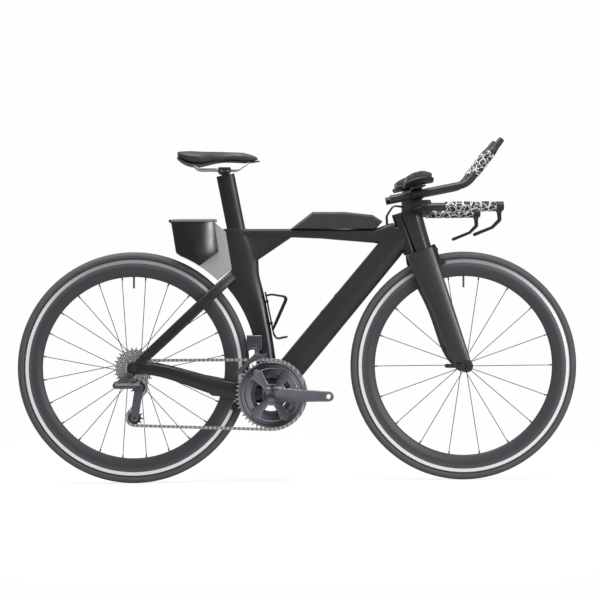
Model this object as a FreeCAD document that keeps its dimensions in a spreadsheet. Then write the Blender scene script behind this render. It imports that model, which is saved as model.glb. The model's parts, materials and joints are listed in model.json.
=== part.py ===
import FreeCAD, Part
import math
import os
import Sketcher
from FreeCAD import Placement, Rotation, Vector

# Driving dimensions, in millimetres, degrees and counts
SIZES = (
    ("clearance", 0.3), ("fit", 0.05), ("loft_steps", 3), ("tail_share", 0.7), ("tube_ease", 0.8),
    ("stay_ease", 0.68), ("round_ease", 0.5523), ("tail_ease", 0.276),
    # Wheels
    ("wheelbase", 966.0), ("wheel_radius", 335.5), ("rim_radius", 314.5), ("tyre_seat", 8.0),
    ("track_half", 12.2), ("track_inner_radius", 302.0), ("rim_bulge_radius", 286.0), ("rim_half", 13.2),
    ("rim_shoulder_radius", 269.0), ("rim_shoulder_half", 7.6), ("rim_inner_radius", 263.0),
    ("valve_radius", 3.0), ("valve_length", 36.0), ("spoke_radius", 1.1), ("spoke_sink", 3.0),
    ("front_spoke_count", 18), ("rear_spoke_count", 24), ("spoke_cross_angle", 56.0), ("spoke_step", 1.7),
    ("rear_spoke_start", 7.5), ("rim_hole_offset", 1.6), ("front_width", 100.0), ("front_flange", 34.0),
    ("front_flange_radius", 19.0), ("front_shell_radius", 12.0), ("rear_width", 130.0),
    ("rear_left_flange", 36.0), ("rear_right_flange", 18.0), ("rear_flange_radius", 23.0),
    ("rear_shell_radius", 14.0), ("flange_half", 1.8), ("hub_cap_radius", 10.0), ("hub_cap_length", 8.0),
    ("hub_cap_gap", 3.0), ("axle_radius", 6.0), ("axle_end_radius", 4.5), ("skewer_nut_radius", 8.5),
    ("skewer_nut_length", 9.0), ("dropout_thickness", 9.0), ("lever_hub_radius", 5.0),
    ("lever_hub_length", 12.0), ("skewer_lever_length", 62.0), ("skewer_lever_end", 6.0),
    ("skewer_lever_thickness", 4.0), ("rear_skewer_angle", 35.0), ("front_skewer_angle", 178.0),
    ("skewer_root_share", 0.8),
    # Drive
    ("chainstay_reach", 396.0), ("bottom_bracket_drop", 78.8), ("crank_length", 165.0),
    ("crank_angle", -2.0), ("crank_hub_radius", 21.0), ("crank_eye_radius", 14.5),
    ("crank_inner_face", 59.0), ("crank_thickness", 13.5), ("pedal_hole_radius", 7.14),
    ("spindle_radius", 12.0), ("spider_front_angle", 57.0), ("spider_rear_angle", 126.0),
    ("spider_root_radius", 12.0), ("spider_end_radius", 11.0), ("spider_tip_share", 0.9),
    ("bolt_circle_radius", 55.0), ("ring_bolt_radius", 5.0), ("pitch", 12.7), ("tooth_height", 3.4),
    ("tooth_root", 4.15), ("tooth_root_half", 2.7), ("tooth_tip_half", 1.0), ("tooth_thickness", 2.0),
    ("outer_teeth", 50), ("inner_teeth", 34), ("outer_ring_offset", 47.0), ("ring_spacing", 7.0),
    ("outer_ring_bore", 60.0), ("ring_cover_outer", 95.0), ("ring_cover_depth", 4.0),
    ("ring_cover_chamfer", 2.2), ("inner_ring_bore", 48.0), ("cog_offset", 59.5), ("cog_spacing", 3.74),
    ("cog_thickness", 1.6), ("freehub_radius", 17.3), ("freehub_face", 21.0), ("lockring_thickness", 2.0),
    ("lockring_radius", 16.5), ("pulley_teeth", 11), ("pulley_hub_half", 3.2), ("pulley_hub_radius", 7.0),
    ("pulley_bore", 2.55), ("guide_ahead", 15.0), ("guide_below", 54.5), ("cage_length", 88.0),
    ("chain_links", 108), ("chain_plate", 0.8), ("chain_gap", 2.3), ("chain_straight", 0.09),
    ("chain_waist", 4.0), ("chain_nose", 4.6), ("chain_shoulder", 2.1), ("roller_radius", 3.8),
    # Steering line and head
    ("head_tilt", 17.5), ("fork_rake", 50.0), ("head_low", 362.0), ("head_length", 84.0),
    ("head_radius", 20.0), ("head_bore", 16.5), ("steerer_radius", 14.25), ("headset_radius", 18.5),
    ("headset_height", 8.0), ("head_rear", 21.0), ("crown_sweep", 29.0),
    # Main frame
    ("wheel_cut_radius", 356.5), ("top_tube_rise", 481.5), ("gusset_back", 34.0),
    ("gusset_low_rise", 391.0), ("gusset_ahead", 68.0), ("gusset_half", 12.0), ("shell_radius", 25.0),
    ("shell_half", 43.0), ("bearing_radius", 20.0), ("bearing_width", 9.0), ("down_foot_ahead", 12.0),
    ("down_foot_rise", 14.0), ("down_head_rise", 65.0), ("down_head_depth", 74.0),
    ("down_foot_depth", 78.0), ("down_head_half", 20.0), ("down_foot_half", 25.0), ("boss_low", 262.0),
    ("boss_spacing", 64.0), ("boss_radius", 6.0), ("boss_height", 1.5), ("boss_thread_radius", 2.5),
    ("boss_depth", 14.0),
    # Stays and dropouts
    ("stay_inset", 4.5), ("stay_taper", 1.5), ("dropout_radius", 19.0), ("seat_stay_end", 46.0),
    ("seat_stay_half", 15.0), ("seat_stay_half_width", 6.5), ("seat_stay_top_y", 9.0),
    ("seat_stay_yoke_y", 28.0), ("seat_stay_mid_y", 48.0), ("seat_stay_top_back", 107.0),
    ("seat_stay_top_rise", 346.0), ("seat_stay_yoke_back", 145.0), ("seat_stay_yoke_rise", 313.0),
    ("chain_stay_shell_back", 16.0), ("chain_stay_shell_y", 26.0), ("chain_stay_neck_back", 97.0),
    ("chain_stay_neck_rise", 8.0), ("chain_stay_neck_y", 28.0), ("chain_stay_mid_back", 213.0),
    ("chain_stay_mid_rise", 39.0), ("chain_stay_mid_y", 47.0), ("chain_stay_end", 43.0),
    ("chain_stay_end_drop", 2.0), ("chain_stay_front_half", 26.5), ("chain_stay_mid_half", 22.5),
    ("chain_stay_end_half", 16.5), ("chain_stay_half_width", 8.5), ("hanger_thickness", 6.0),
    ("hanger_radius", 14.0), ("hanger_eye_radius", 9.5), ("hanger_back", 10.5), ("hanger_drop", 21.5),
    ("hanger_bolt_radius", 5.0),
    # Seatpost and saddle
    ("post_tilt", 11.1), ("post_ahead", 37.5), ("post_depth", 53.0), ("post_half", 13.0),
    ("post_tail_half", 6.0), ("post_sunk", 140.0), ("post_socket_depth", 200.0), ("post_rise", 160.0),
    ("post_head_radius", 11.0), ("post_head_half", 15.5), ("rail_spacing", 22.0), ("rail_radius", 3.5),
    ("rail_rise", 174.5), ("clamp_length", 36.0), ("clamp_half", 6.5), ("clamp_height", 15.0),
    ("clamp_bolt_radius", 4.0), ("clamp_bolt_spacing", 20.0), ("saddle_base_depth", 4.0),
    ("rail_rear_y", 34.0), ("rail_nose_y", 9.0), ("rail_bend", 18.0), ("rail_rear_inset", 18.0),
    ("rail_root", 2.0), ("rail_wing_inset", 4.0), ("rail_front_share", 0.95), ("rail_nose_share", 0.92),
    ("saddle_edge_share", 0.45), ("saddle_foot_share", 0.86), ("saddle_peak_share", 0.62),
    ("saddle_crown", 0.75), ("saddle_base_share", 0.9), ("saddle_base_crown", 0.3),
    # Fork, nose and steering
    ("crown_gap", 0.4), ("crown_depth", 34.0), ("crown_ahead", 20.0), ("crown_half", 36.0),
    ("crown_tail_half", 22.0), ("tyre_room", 7.5), ("tyre_room_half", 20.0), ("steerer_top", 482.0),
    ("fork_tip_radius", 18.0), ("nose_gap", 2.0), ("spacer_radius", 19.0), ("blade_tail_share", 0.45),
    ("nose_tail_share", 0.95), ("spacer_top", 481.0),
    # Cockpit, measured from where the steering line leaves the spacers
    ("cockpit_along", 476.0), ("stem_rear", 10.0), ("stem_front", 92.0), ("stem_low", 4.0),
    ("stem_high", 47.5), ("stem_half", 26.0), ("stem_round", 8.0), ("bar_ahead", 58.0), ("bar_rise", 17.5),
    ("bar_wing_end", 168.0), ("bar_wing_mid", 90.0), ("bar_wing_depth", 46.0), ("bar_wing_half", 8.5),
    ("horn_root_share", 0.88), ("bar_end_depth_share", 0.82), ("bar_end_share", 1.15),
    ("bar_middle_share", 1.25), ("bar_tail_share", 0.3), ("horn_side", 190.0), ("horn_bend", 36.0),
    ("horn_radius", 11.5), ("horn_end", 250.0), ("horn_rise", 2.0), ("tape_start", 108.0),
    ("tape_end", 252.0), ("tape_radius", 15.0), ("control_radius", 13.5), ("control_end", 274.0),
    ("lever_pivot_ahead", 262.0), ("lever_pivot_drop", 13.0), ("lever_hub", 6.0), ("lever_half", 3.9),
    ("lever_pin", 2.0), ("lever_knee_ahead", 1.0), ("lever_knee_drop", 24.0), ("lever_heel_back", 20.0),
    ("lever_heel_drop", 45.0), ("lever_tip_back", 70.0), ("lever_tip_drop", 65.0), ("lever_waist", 4.3),
    ("ear_thickness", 3.2), ("ear_wall", 1.0), ("ear_top_share", 1.4), ("lever_knee_share", 1.2),
    ("lever_tip_share", 1.1), ("extension_side", 55.0), ("extension_back", 31.0),
    ("extension_back_rise", 47.5), ("extension_knee_ahead", 193.0), ("extension_knee_rise", 91.5),
    ("extension_tip_ahead", 264.0), ("extension_tip_rise", 182.0), ("extension_radius", 11.1),
    ("extension_bend", 60.0), ("extension_tape", 78.0), ("extension_tape_radius", 13.6),
    ("pod_radius", 12.6), ("pod_waist", 10.4), ("pod_collar", 9.0), ("pod_length", 52.0),
    ("button_radius", 6.0), ("button_length", 5.0), ("button_sunk", 3.2), ("button_travel", 1.5),
    ("pod_end_share", 0.85), ("button_step_share", 0.8), ("button_top_share", 0.75),
    ("clamp_ring_radius", 15.5), ("clamp_ring_half", 17.0), ("clamp_ring_ahead", 46.0),
    ("riser_plate", 8.0), ("pad_ahead", 43.0), ("pad_rise", 82.0), ("pad_tilt", 11.2), ("pad_side", 112.0),
    ("pad_half_length", 42.0), ("pad_cup_radius", 78.0), ("pad_cup_wall", 3.0), ("pad_thickness", 13.0),
    ("pad_sweep", 37.0), ("pad_shelf", 5.0), ("pad_shelf_half", 18.0), ("pad_shelf_out", 126.0),
    ("pad_spacer_radius", 12.0), ("pad_spacer", 1.2), ("pad_flat_share", 0.6), ("pad_end_share", 0.8),
    ("cushion_share", 0.97), ("cushion_end_share", 0.75), ("cushion_end_depth", 0.55),
    # Brakes
    ("brake_gap", 2.2), ("brake_arm_half", 5.0), ("brake_arm_thickness", 7.0), ("brake_pivot_side", 21.0),
    ("brake_stud", 4.0), ("front_brake_along", 351.0), ("front_brake_ahead", 68.0),
    ("brake_pad_length", 34.0), ("brake_pad_thickness", 6.0), ("brake_pad_height", 8.0),
    ("brake_track_radius", 308.0), ("rear_brake_back", 62.0), ("rear_brake_side", 26.0),
    ("rear_pad_length", 24.0), ("rear_pad_side", 20.0), ("rear_brake_drop", 31.0), ("rear_stud_rise", 14.0),
    ("brake_horn", 11.0),
    # Front derailleur
    ("fd_back", 26.0), ("fd_width", 44.0), ("fd_low", 141.0), ("fd_high", 172.0), ("fd_out", 44.0),
    ("fd_pivot_rise", 134.0), ("fd_pivot_side", 37.0), ("fd_pin", 2.5), ("fd_barrel", 4.6),
    ("fd_barrel_length", 26.0), ("fd_ear", 7.5), ("fd_ear_share", 0.9), ("fd_inner", 10.0),
    ("fd_cage_radius", 108.0), ("fd_cage_back", 103.0), ("fd_cage_front", 12.0), ("fd_cage_rise", 118.0),
    ("fd_cage_tail_rise", 66.0), ("fd_inner_side", 42.6), ("fd_outer_side", 53.6), ("fd_plate", 1.2),
    ("fd_roof", 4.0),
    # Rear derailleur
    ("rd_knob_back", 49.0), ("rd_knob_drop", 49.0), ("rd_knob_radius", 11.0),
    ("rd_bracket_thickness", 12.0), ("rd_axis_tilt", 42.6), ("rd_link_length", 62.0),
    ("rd_eye_radius", 7.0), ("rd_eye_half", 5.0), ("rd_base_height", 8.0), ("rd_pin_share", 0.5),
    ("rd_pin", 2.9), ("rd_side", 95.0), ("rd_knuckle_radius", 11.0), ("rd_stub", 4.0),
    ("rd_cage_radius", 12.0), ("rd_cage_plate", 1.5), ("rd_bolt_radius", 2.5), ("rd_gap", 0.4),
    # Storage boxes, bottle cage and cables
    ("box_half", 36.0), ("box_wall", 2.5), ("box_front_top", 28.0), ("box_front_mid", 14.5),
    ("box_front_drop", 66.5), ("box_low_back", 70.0), ("box_tail_back", 152.0),
    ("box_tail_low_back", 138.0), ("box_tail_drop", 69.0), ("box_clear_radius", 351.0),
    ("box_end_back", 126.0), ("box_top_rise", 20.0), ("lid_thickness", 7.5), ("lid_pin", 2.0),
    ("bracket_half", 33.0), ("bracket_front_half", 15.5), ("bracket_tip_back", 17.0),
    ("bracket_top_ahead", 6.0), ("bracket_top_drop", 8.0), ("bracket_low_ahead", 24.0),
    ("bracket_low_drop", 119.0), ("top_box_half", 21.0), ("top_box_rear", 61.0), ("top_box_slope", 63.0),
    ("top_box_crown_share", 0.537), ("top_box_nose", 29.0), ("top_box_head_gap", 58.2),
    ("top_box_rise", 49.0), ("top_box_front_rise", 40.0), ("top_box_tip_rise", 21.0),
    ("top_box_foot", 19.0), ("top_box_round", 9.0), ("cage_rod", 2.8), ("cage_bend", 9.0),
    ("cage_spine_half", 11.0), ("cage_spine", 4.0), ("cage_low_rise", 172.0), ("cage_high_rise", 297.0),
    ("cage_gap", 3.0), ("cage_side", 38.0), ("cage_reach", 62.0), ("cage_side_share", 0.3),
    ("cage_bolt_radius", 4.0), ("cage_bolt_low", 205.0), ("cage_bolt_high", 269.0),
    ("cage_bolt_depth", 16.0), ("cable_radius", 2.5), ("cable_bend", 18.0), ("cable_spacing", 9.0),
    ("cable_foot_back", 34.0), ("cable_foot_drop", 36.0), ("cable_loop_back", 36.0),
    ("cable_loop_low", 1.0), ("cable_loop_ahead", 16.0), ("cable_loop_high", 32.0),
    ("cable_end_rise", 28.0), ("lid_hinge_back", 2.5), ("lid_hinge_rise", 2.0), ("lid_knuckle", 4.0),
    ("lid_knuckle_half", 11.5), ("lid_front", 19.0), ("lid_rear", 150.0), ("cage_arm_high", 116.0),
    ("cage_arm_front", 100.0), ("cage_hook", 38.0), ("cage_hook_drop", 14.0),
)

# Stations along the lofted pieces: a name, then one value for each field
STATIONS = {
    # Rise above the bottom bracket, edges behind it (0 back means that the wheel cut sets it), half width
    "seat_tube": (("rise", "back", "ahead", "half"), {
        "top": (481.5, 136.0, 66.0, 16.5), "upper": (391.0, 121.0, 34.0, 16.5),
        "waist": (352.0, 115.0, 32.0, 16.5), "yoke": (309.0, 124.0, 22.0, 16.5),
        "high": (263.0, 0.0, 11.6, 16.0), "middle": (223.0, 0.0, 4.0, 16.0),
        "low": (176.0, 0.0, -4.5, 16.0), "neck": (128.0, 0.0, -12.0, 17.0),
        "foot": (30.0, 0.0, -24.0, 20.0)}),
    # Place ahead of the bottom bracket, middle below the top line, half height, half width
    "top_tube": (("ahead", "below", "tall", "half"), {
        "rear": (-100.0, 12.8, 12.5, 14.0), "gusset": (68.0, 12.6, 12.8, 15.0),
        "front": (309.0, 20.5, 21.5, 17.5), "rise": (359.0, 18.5, 35.5, 18.5),
        "head": (386.0, 26.0, 35.0, 18.5)}),
    # Place behind the rail clamp's middle, top and underside from the rail line, half width
    "saddle": (("back", "top", "under", "half"), {
        "tail": (138.0, 57.0, 38.0, 30.0), "heel": (122.0, 55.0, 26.0, 55.0),
        "wing": (78.0, 51.0, 15.0, 66.0), "waist": (38.0, 50.5, 22.0, 48.0),
        "middle": (2.0, 50.5, 27.0, 29.0), "neck": (-40.0, 49.5, 26.0, 21.0),
        "nose": (-78.0, 47.0, 25.5, 17.5), "tip": (-103.0, 37.5, 28.5, 8.0)}),
    # Height along the steering line, rear and front of the section, middle and half width to the side
    "blade": (("along", "rear", "front", "side", "half"), {
        "crown": (0.0, -11.0, 66.5, 29.0, 9.0), "upper": (265.0, -9.0, 66.5, 37.0, 9.0),
        "lower": (120.0, 7.0, 66.5, 49.5, 8.0), "ankle": (30.0, 16.0, 66.0, 54.5, 5.8),
        "tip": (-4.0, 33.0, 66.0, 54.5, 4.5)}),
    "nose": (("along", "rear", "front", "half"), {
        "low": (0.0, 14.0, 65.0, 27.0), "middle": (400.0, 11.5, 65.5, 25.5), "high": (452.0, 7.0, 68.0,
                                                                                      24.0)}),
}

doc = FreeCAD.newDocument("TimeTrialBike")
sheet = doc.addObject("Spreadsheet::Sheet", "Sizes")
SHEET_ROWS = list(SIZES)
for piece, (fields, rows) in STATIONS.items():
    for station, values in rows.items():
        for field, value in zip(fields, values):
            SHEET_ROWS.append((f"{piece}_{station}_{field}", value))
for row, (alias, value) in enumerate(SHEET_ROWS, start=1):
    sheet.set(f"A{row}", alias)
    sheet.set(f"B{row}", str(value))
    sheet.setAlias(f"B{row}", alias)
doc.recompute()


class Size:
    """A number that remembers the sheet expression that it comes from."""

    def __init__(self, value, text):
        self.value = float(value)
        self.text = text

    def __float__(self):
        return self.value

    def __neg__(self):
        return Size(-self.value, f"-({self.text})")

    def __add__(self, other):
        return Size(self.value + float(other), f"({self.text} + {words(other)})")

    def __radd__(self, other):
        return Size(float(other) + self.value, f"({words(other)} + {self.text})")

    def __sub__(self, other):
        return Size(self.value - float(other), f"({self.text} - {words(other)})")

    def __rsub__(self, other):
        return Size(float(other) - self.value, f"({words(other)} - {self.text})")

    def __mul__(self, other):
        return Size(self.value * float(other), f"({self.text} * {words(other)})")

    def __rmul__(self, other):
        return Size(float(other) * self.value, f"({words(other)} * {self.text})")

    def __truediv__(self, other):
        return Size(self.value / float(other), f"({self.text} / {words(other)})")


def words(number):
    """Return the expression text of a size or of a plain number."""
    return number.text if isinstance(number, Size) else repr(float(number))


class Sheet:
    """Read sizes from the spreadsheet by alias."""

    def __getattr__(self, alias):
        return Size(sheet.get(alias), f"Sizes.{alias}")


S = Sheet()
PARTS = {}


def stations(piece):
    """Return a piece's stations, each a list of numbers read from the sheet."""
    fields, rows = STATIONS[piece]
    return [[float(getattr(S, f"{piece}_{station}_{field}")) for field in fields] for station in rows]


def vec(x, y, z):
    """Make a vector from sizes or plain numbers."""
    return Vector(float(x), float(y), float(z))


def bind(item, prop, size):
    """Bind a property to its size in the sheet, or set it where it is a plain number."""
    if isinstance(size, Size):
        item.setExpression(prop, size.text)


def place(item, x, y, z, rotation=Rotation()):
    """Put an object at a point that follows the sheet."""
    item.Placement = Placement(vec(x, y, z), rotation)
    bind(item, "Placement.Base.x", x)
    bind(item, "Placement.Base.y", y)
    bind(item, "Placement.Base.z", z)
    return item


def name_part(item, label):
    """Give a finished sub-part its label and list it for writing."""
    item.Label = label
    PARTS[label] = item
    return item


def feature(name, shape):
    """Hold a shape made by Part functions as a document object."""
    item = doc.addObject("Part::Feature", name)
    item.Shape = shape
    return item


def group(name, items):
    """Hold several solids of one node together."""
    item = doc.addObject("Part::Compound", name)
    item.Links = items
    return item


def fuse(name, items):
    """Join objects into one solid."""
    item = doc.addObject("Part::MultiFuse", name)
    item.Shapes = items
    item.Refine = True
    return item


ALONG_Y = Rotation(Vector(1, 0, 0), -90)
UPRIGHT = Rotation()


def cylinder(name, radius, length, x, y, z, rotation=ALONG_Y):
    """Add a cylinder that starts at a point and runs along the rotated Z axis."""
    item = doc.addObject("Part::Cylinder", name)
    bind(item, "Radius", radius)
    bind(item, "Height", length)
    return place(item, x, y, z, rotation)


def new_sketch(body, name, role):
    """Start a sketch on one of the body's own origin planes."""
    sketch = body.newObject("Sketcher::SketchObject", name)
    plane = [item for item in body.Origin.OriginFeatures if item.Role == role][0]
    sketch.AttachmentSupport = [(plane, "")]
    sketch.MapMode = "FlatFace"
    return sketch


def pin_point(sketch, geometry, end, x, y):
    """Hold a sketch point at sizes measured from the sketch origin."""
    for kind, axis, size in (("DistanceX", -2, x), ("DistanceY", -1, y)):
        if float(size) == 0.0:
            sketch.addConstraint(Sketcher.Constraint("PointOnObject", geometry, end, axis))
            continue
        index = sketch.addConstraint(Sketcher.Constraint(kind, -1, 1, geometry, end, float(size)))
        if isinstance(size, Size):
            sketch.setExpression(f"Constraints[{index}]", size.text)


def arc_through(start, middle, end):
    """Return a counter-clockwise sketch arc through three points, and whether it runs backwards."""
    circle = Part.ArcOfCircle(start, middle, end)
    turn = (middle - start).cross(end - middle).z
    first, last = (start, end) if turn > 0 else (end, start)
    centre = circle.Center
    begin = math.atan2(first.y - centre.y, first.x - centre.x)
    finish = math.atan2(last.y - centre.y, last.x - centre.x)
    plain = Part.Circle(centre, Vector(0, 0, 1), circle.Radius)
    return Part.ArcOfCircle(plain, begin, finish), turn < 0


def draw_outline(sketch, corners):
    """Draw a closed outline: a corner is (x, y), or (x, y, via_x, via_y) when an arc leads to it."""
    ends = []
    for index, corner in enumerate(corners):
        start = vec(corners[index - 1][0], corners[index - 1][1], 0)
        end = vec(corner[0], corner[1], 0)
        if len(corner) == 2:
            geometry = sketch.addGeometry(Part.LineSegment(start, end))
            ends.append((geometry, 1, 2))
        else:
            arc, backwards = arc_through(start, vec(corner[2], corner[3], 0), end)
            geometry = sketch.addGeometry(arc)
            ends.append((geometry, 2, 1) if backwards else (geometry, 1, 2))
    for index, (geometry, start, end) in enumerate(ends):
        before = ends[index - 1]
        sketch.addConstraint(Sketcher.Constraint("Coincident", before[0], before[2], geometry, start))
        pin_point(sketch, geometry, end, corners[index][0], corners[index][1])
    for index, corner in enumerate(corners):
        if len(corner) == 4:
            marker = sketch.addGeometry(Part.Point(vec(corner[2], corner[3], 0)), True)
            pin_point(sketch, marker, 1, corner[2], corner[3])
            sketch.addConstraint(Sketcher.Constraint("PointOnObject", marker, 1, ends[index][0]))


def turned(name, corners, x, y, z, rotation=ALONG_Y):
    """Turn an outline of (radius, height) corners about an axis through a point."""
    body = doc.addObject("PartDesign::Body", name)
    sketch = new_sketch(body, name + "_outline", "XZ_Plane")
    draw_outline(sketch, corners)
    turn = body.newObject("PartDesign::Revolution", name + "_turn")
    turn.Profile = sketch
    turn.ReferenceAxis = (sketch, ["V_Axis"])
    turn.Angle = 360.0
    sketch.Visibility = False
    return place(body, x, y, z, rotation)


def polar(radius, degrees):
    """Return the (x, z) offset at an angle, in numbers."""
    angle = math.radians(float(degrees))
    return float(radius) * math.cos(angle), float(radius) * math.sin(angle)


def arm_shape(start, start_radius, end, end_radius, low, high):
    """Make a flat arm with two round ends in the side view, between two Y planes."""
    gap_x = float(end[0]) - float(start[0])
    gap_z = float(end[1]) - float(start[1])
    length = math.hypot(gap_x, gap_z)
    heading = math.atan2(gap_z, gap_x)
    lean = math.acos((float(start_radius) - float(end_radius)) / length)

    def rim(centre, radius, angle):
        return Vector(float(centre[0]) + float(radius) * math.cos(angle), float(low),
                      float(centre[1]) + float(radius) * math.sin(angle))

    start_up = rim(start, start_radius, heading + lean)
    start_down = rim(start, start_radius, heading - lean)
    end_up = rim(end, end_radius, heading + lean)
    end_down = rim(end, end_radius, heading - lean)
    edges = [
        Part.Arc(start_up, rim(start, start_radius, heading + math.pi), start_down).toShape(),
        Part.makeLine(start_down, end_down),
        Part.Arc(end_down, rim(end, end_radius, heading), end_up).toShape(),
        Part.makeLine(end_up, start_up),
    ]
    return Part.Face(Part.Wire(edges)).extrude(Vector(0, float(high) - float(low), 0))


def round_bar(radius, start, end):
    """Make a plain round bar between two points."""
    return Part.makeCylinder(float(radius), (end - start).Length, start, end - start)


def smooth_wire(centre, along, across, fore, aft, half, tail):
    """Make an aero section: a round nose, flanks that draw in and a flat tail."""
    ease = float(S.round_ease)
    fore_way = along * float(fore)
    aft_way = along * float(aft)
    side = across * float(half)
    back = across * float(tail)
    nose = centre + fore_way
    edges = []
    for sign in (1, -1):
        flank = centre + side * sign
        corner = centre - aft_way + back * sign
        front = Part.BezierCurve()
        front.setPoles([flank, flank + fore_way * ease, nose + side * (sign * ease), nose])
        rear = Part.BezierCurve()
        rear.setPoles([flank, flank - aft_way * ease, corner + aft_way * float(S.tail_ease), corner])
        edges += [front.toShape(), rear.toShape()]
    edges.append(Part.makeLine(centre - aft_way + back, centre - aft_way - back))
    return Part.Wire(Part.__sortEdges__(edges))


def oval_wire(centre, along, across, long_half, short_half, squareness):
    """Make a four-piece oval, squarer with a larger last value."""
    ease = float(squareness)
    ways = [along * float(long_half), across * float(short_half),
            along * -float(long_half), across * -float(short_half)]
    edges = []
    for index in range(4):
        first = ways[index]
        second = ways[(index + 1) % 4]
        curve = Part.BezierCurve()
        curve.setPoles([centre + first, centre + first + second * ease, centre + second + first * ease,
                        centre + second])
        edges.append(curve.toShape())
    return Part.Wire(edges)


def loft(wires, ruled=False):
    """Loft a solid through closed sections, turned right side out."""
    solid = Part.makeLoft(wires, True, ruled)
    if solid.Volume < 0:
        solid.reverse()
    return solid


def eased(rows, steps):
    """Fill in rows along curves that run through the given rows and never overshoot them."""
    rows = sorted(rows)
    slopes = []
    for index, row in enumerate(rows):
        before = rows[max(index - 1, 0)]
        after = rows[min(index + 1, len(rows) - 1)]
        tilts = []
        for field in range(len(row)):
            back = (row[field] - before[field]) / ((row[0] - before[0]) or 1.0)
            onward = (after[field] - row[field]) / ((after[0] - row[0]) or 1.0)
            if before is row or after is row:
                tilts.append(back + onward)
            else:
                tilts.append(2 * back * onward / (back + onward) if back * onward > 0 else 0.0)
        slopes.append(tilts)
    filled = []
    for index in range(len(rows) - 1):
        low, high = rows[index], rows[index + 1]
        span = high[0] - low[0]
        for step in range(steps):
            t = step / steps
            rise = t * t * (3 - 2 * t)
            start, end = t * (1 - t) ** 2 * span, t * t * (t - 1) * span
            filled.append([first * (1 - rise) + second * rise + start * first_slope + end * second_slope
                           for first, second, first_slope, second_slope
                           in zip(low, high, slopes[index], slopes[index + 1])])
    return filled + [rows[-1]]


def bent_path(points, bend):
    """Join points by straight runs with a tangent arc at each inner point."""
    edges = []
    last = points[0]
    for index in range(1, len(points) - 1):
        here = points[index]
        back = (points[index - 1] - here).normalize()
        onward = (points[index + 1] - here).normalize()
        half_turn = (math.pi - back.getAngle(onward)) / 2
        reach = float(bend) * math.tan(half_turn)
        enter = here + back * reach
        leave = here + onward * reach
        inward = (back + onward).normalize()
        middle = here + inward * (float(bend) / math.cos(half_turn) - float(bend))
        edges.append(Part.makeLine(last, enter))
        edges.append(Part.Arc(enter, middle, leave).toShape())
        last = leave
    edges.append(Part.makeLine(last, points[-1]))
    return Part.Wire(edges)


def tube(points, bend, radius):
    """Sweep a round section along straight runs and tangent arcs, and compare the volume."""
    path = bent_path(points, bend)
    circle = Part.makeCircle(float(radius), points[0], points[1] - points[0])
    solid = path.makePipeShell([Part.Wire([circle])], True, False)
    expected = math.pi * float(radius) ** 2 * path.Length
    if abs(solid.Volume - expected) > expected * 0.02:
        raise ValueError("a tube's volume does not match its length")
    return solid


REAR_X = -S.wheelbase / 2
FRONT_X = S.wheelbase / 2
AXLE_Z = S.wheel_radius
BRACKET_X = REAR_X + S.chainstay_reach
BRACKET_Z = AXLE_Z - S.bottom_bracket_drop
COG_TEETH = (11, 12, 13, 14, 15, 17, 19, 21, 23, 25, 28)


def make_tyre(label, x):
    """Tyre casing with the valve of its tube."""
    casing = turned(label + "_casing", [
        (S.rim_radius, -S.tyre_seat),
        (S.rim_radius, S.tyre_seat, S.wheel_radius, 0.0),
    ], x, 0.0, AXLE_Z)
    valve = cylinder(label + "_valve", S.valve_radius, S.valve_length, x, 0.0,
                     AXLE_Z + S.rim_inner_radius + S.spoke_sink - S.valve_length, UPRIGHT)
    name_part(group(label, [casing, valve]), label)


def make_rim(label, x):
    """Deep rim: flat tyre bed, straight brake tracks, bulged flanks and a round inner edge."""
    rim = turned(label, [
        (S.rim_radius, -S.track_half),
        (S.rim_radius, S.track_half),
        (S.track_inner_radius, S.track_half),
        (S.rim_shoulder_radius, S.rim_shoulder_half, S.rim_bulge_radius, S.rim_half),
        (S.rim_shoulder_radius, -S.rim_shoulder_half, S.rim_inner_radius, 0.0),
        (S.track_inner_radius, -S.track_half, S.rim_bulge_radius, -S.rim_half),
    ], x, 0.0, AXLE_Z)
    name_part(rim, label)


def make_hub(label, x, left_flange, right_flange, left_end, right_end, flange_radius, shell_radius):
    """Hub shell with two spoke flanges, bored for its axle."""
    bore = S.axle_radius + S.fit
    left_in = left_flange - S.flange_half
    right_in = -right_flange + S.flange_half
    hub = turned(label, [
        (bore, -right_end),
        (S.hub_cap_radius, -right_end),
        (S.hub_cap_radius, -right_flange - S.flange_half),
        (flange_radius, -right_flange - S.flange_half),
        (flange_radius, right_in),
        (shell_radius, right_in + S.hub_cap_length),
        (shell_radius, left_in - S.hub_cap_length),
        (flange_radius, left_in),
        (flange_radius, left_flange + S.flange_half),
        (S.hub_cap_radius, left_flange + S.flange_half),
        (S.hub_cap_radius, left_end),
        (bore, left_end),
    ], x, 0.0, AXLE_Z)
    name_part(hub, label)


def spoke(x, rim_angle, hub_angle, hub_radius, hub_y, rim_y):
    """One spoke from its flange into the rim."""
    inner_x, inner_z = polar(hub_radius, hub_angle)
    outer_x, outer_z = polar(S.rim_inner_radius + S.spoke_sink, rim_angle)
    start = vec(x + inner_x, hub_y, AXLE_Z + inner_z)
    end = vec(x + outer_x, rim_y, AXLE_Z + outer_z)
    return round_bar(S.spoke_radius, start, end)


def make_front_spokes():
    """Radial spokes, alternating between the two flanges."""
    count = int(S.front_spoke_count.value)
    spokes = []
    for index in range(count):
        angle = 360.0 * index / count
        side = 1 if index % 2 else -1
        spokes.append(spoke(FRONT_X, angle, angle, S.front_flange_radius - S.spoke_sink,
                            S.front_flange * side, S.rim_hole_offset * side))
    name_part(feature("front_spokes", Part.Compound(spokes)), "front_spokes")


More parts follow.
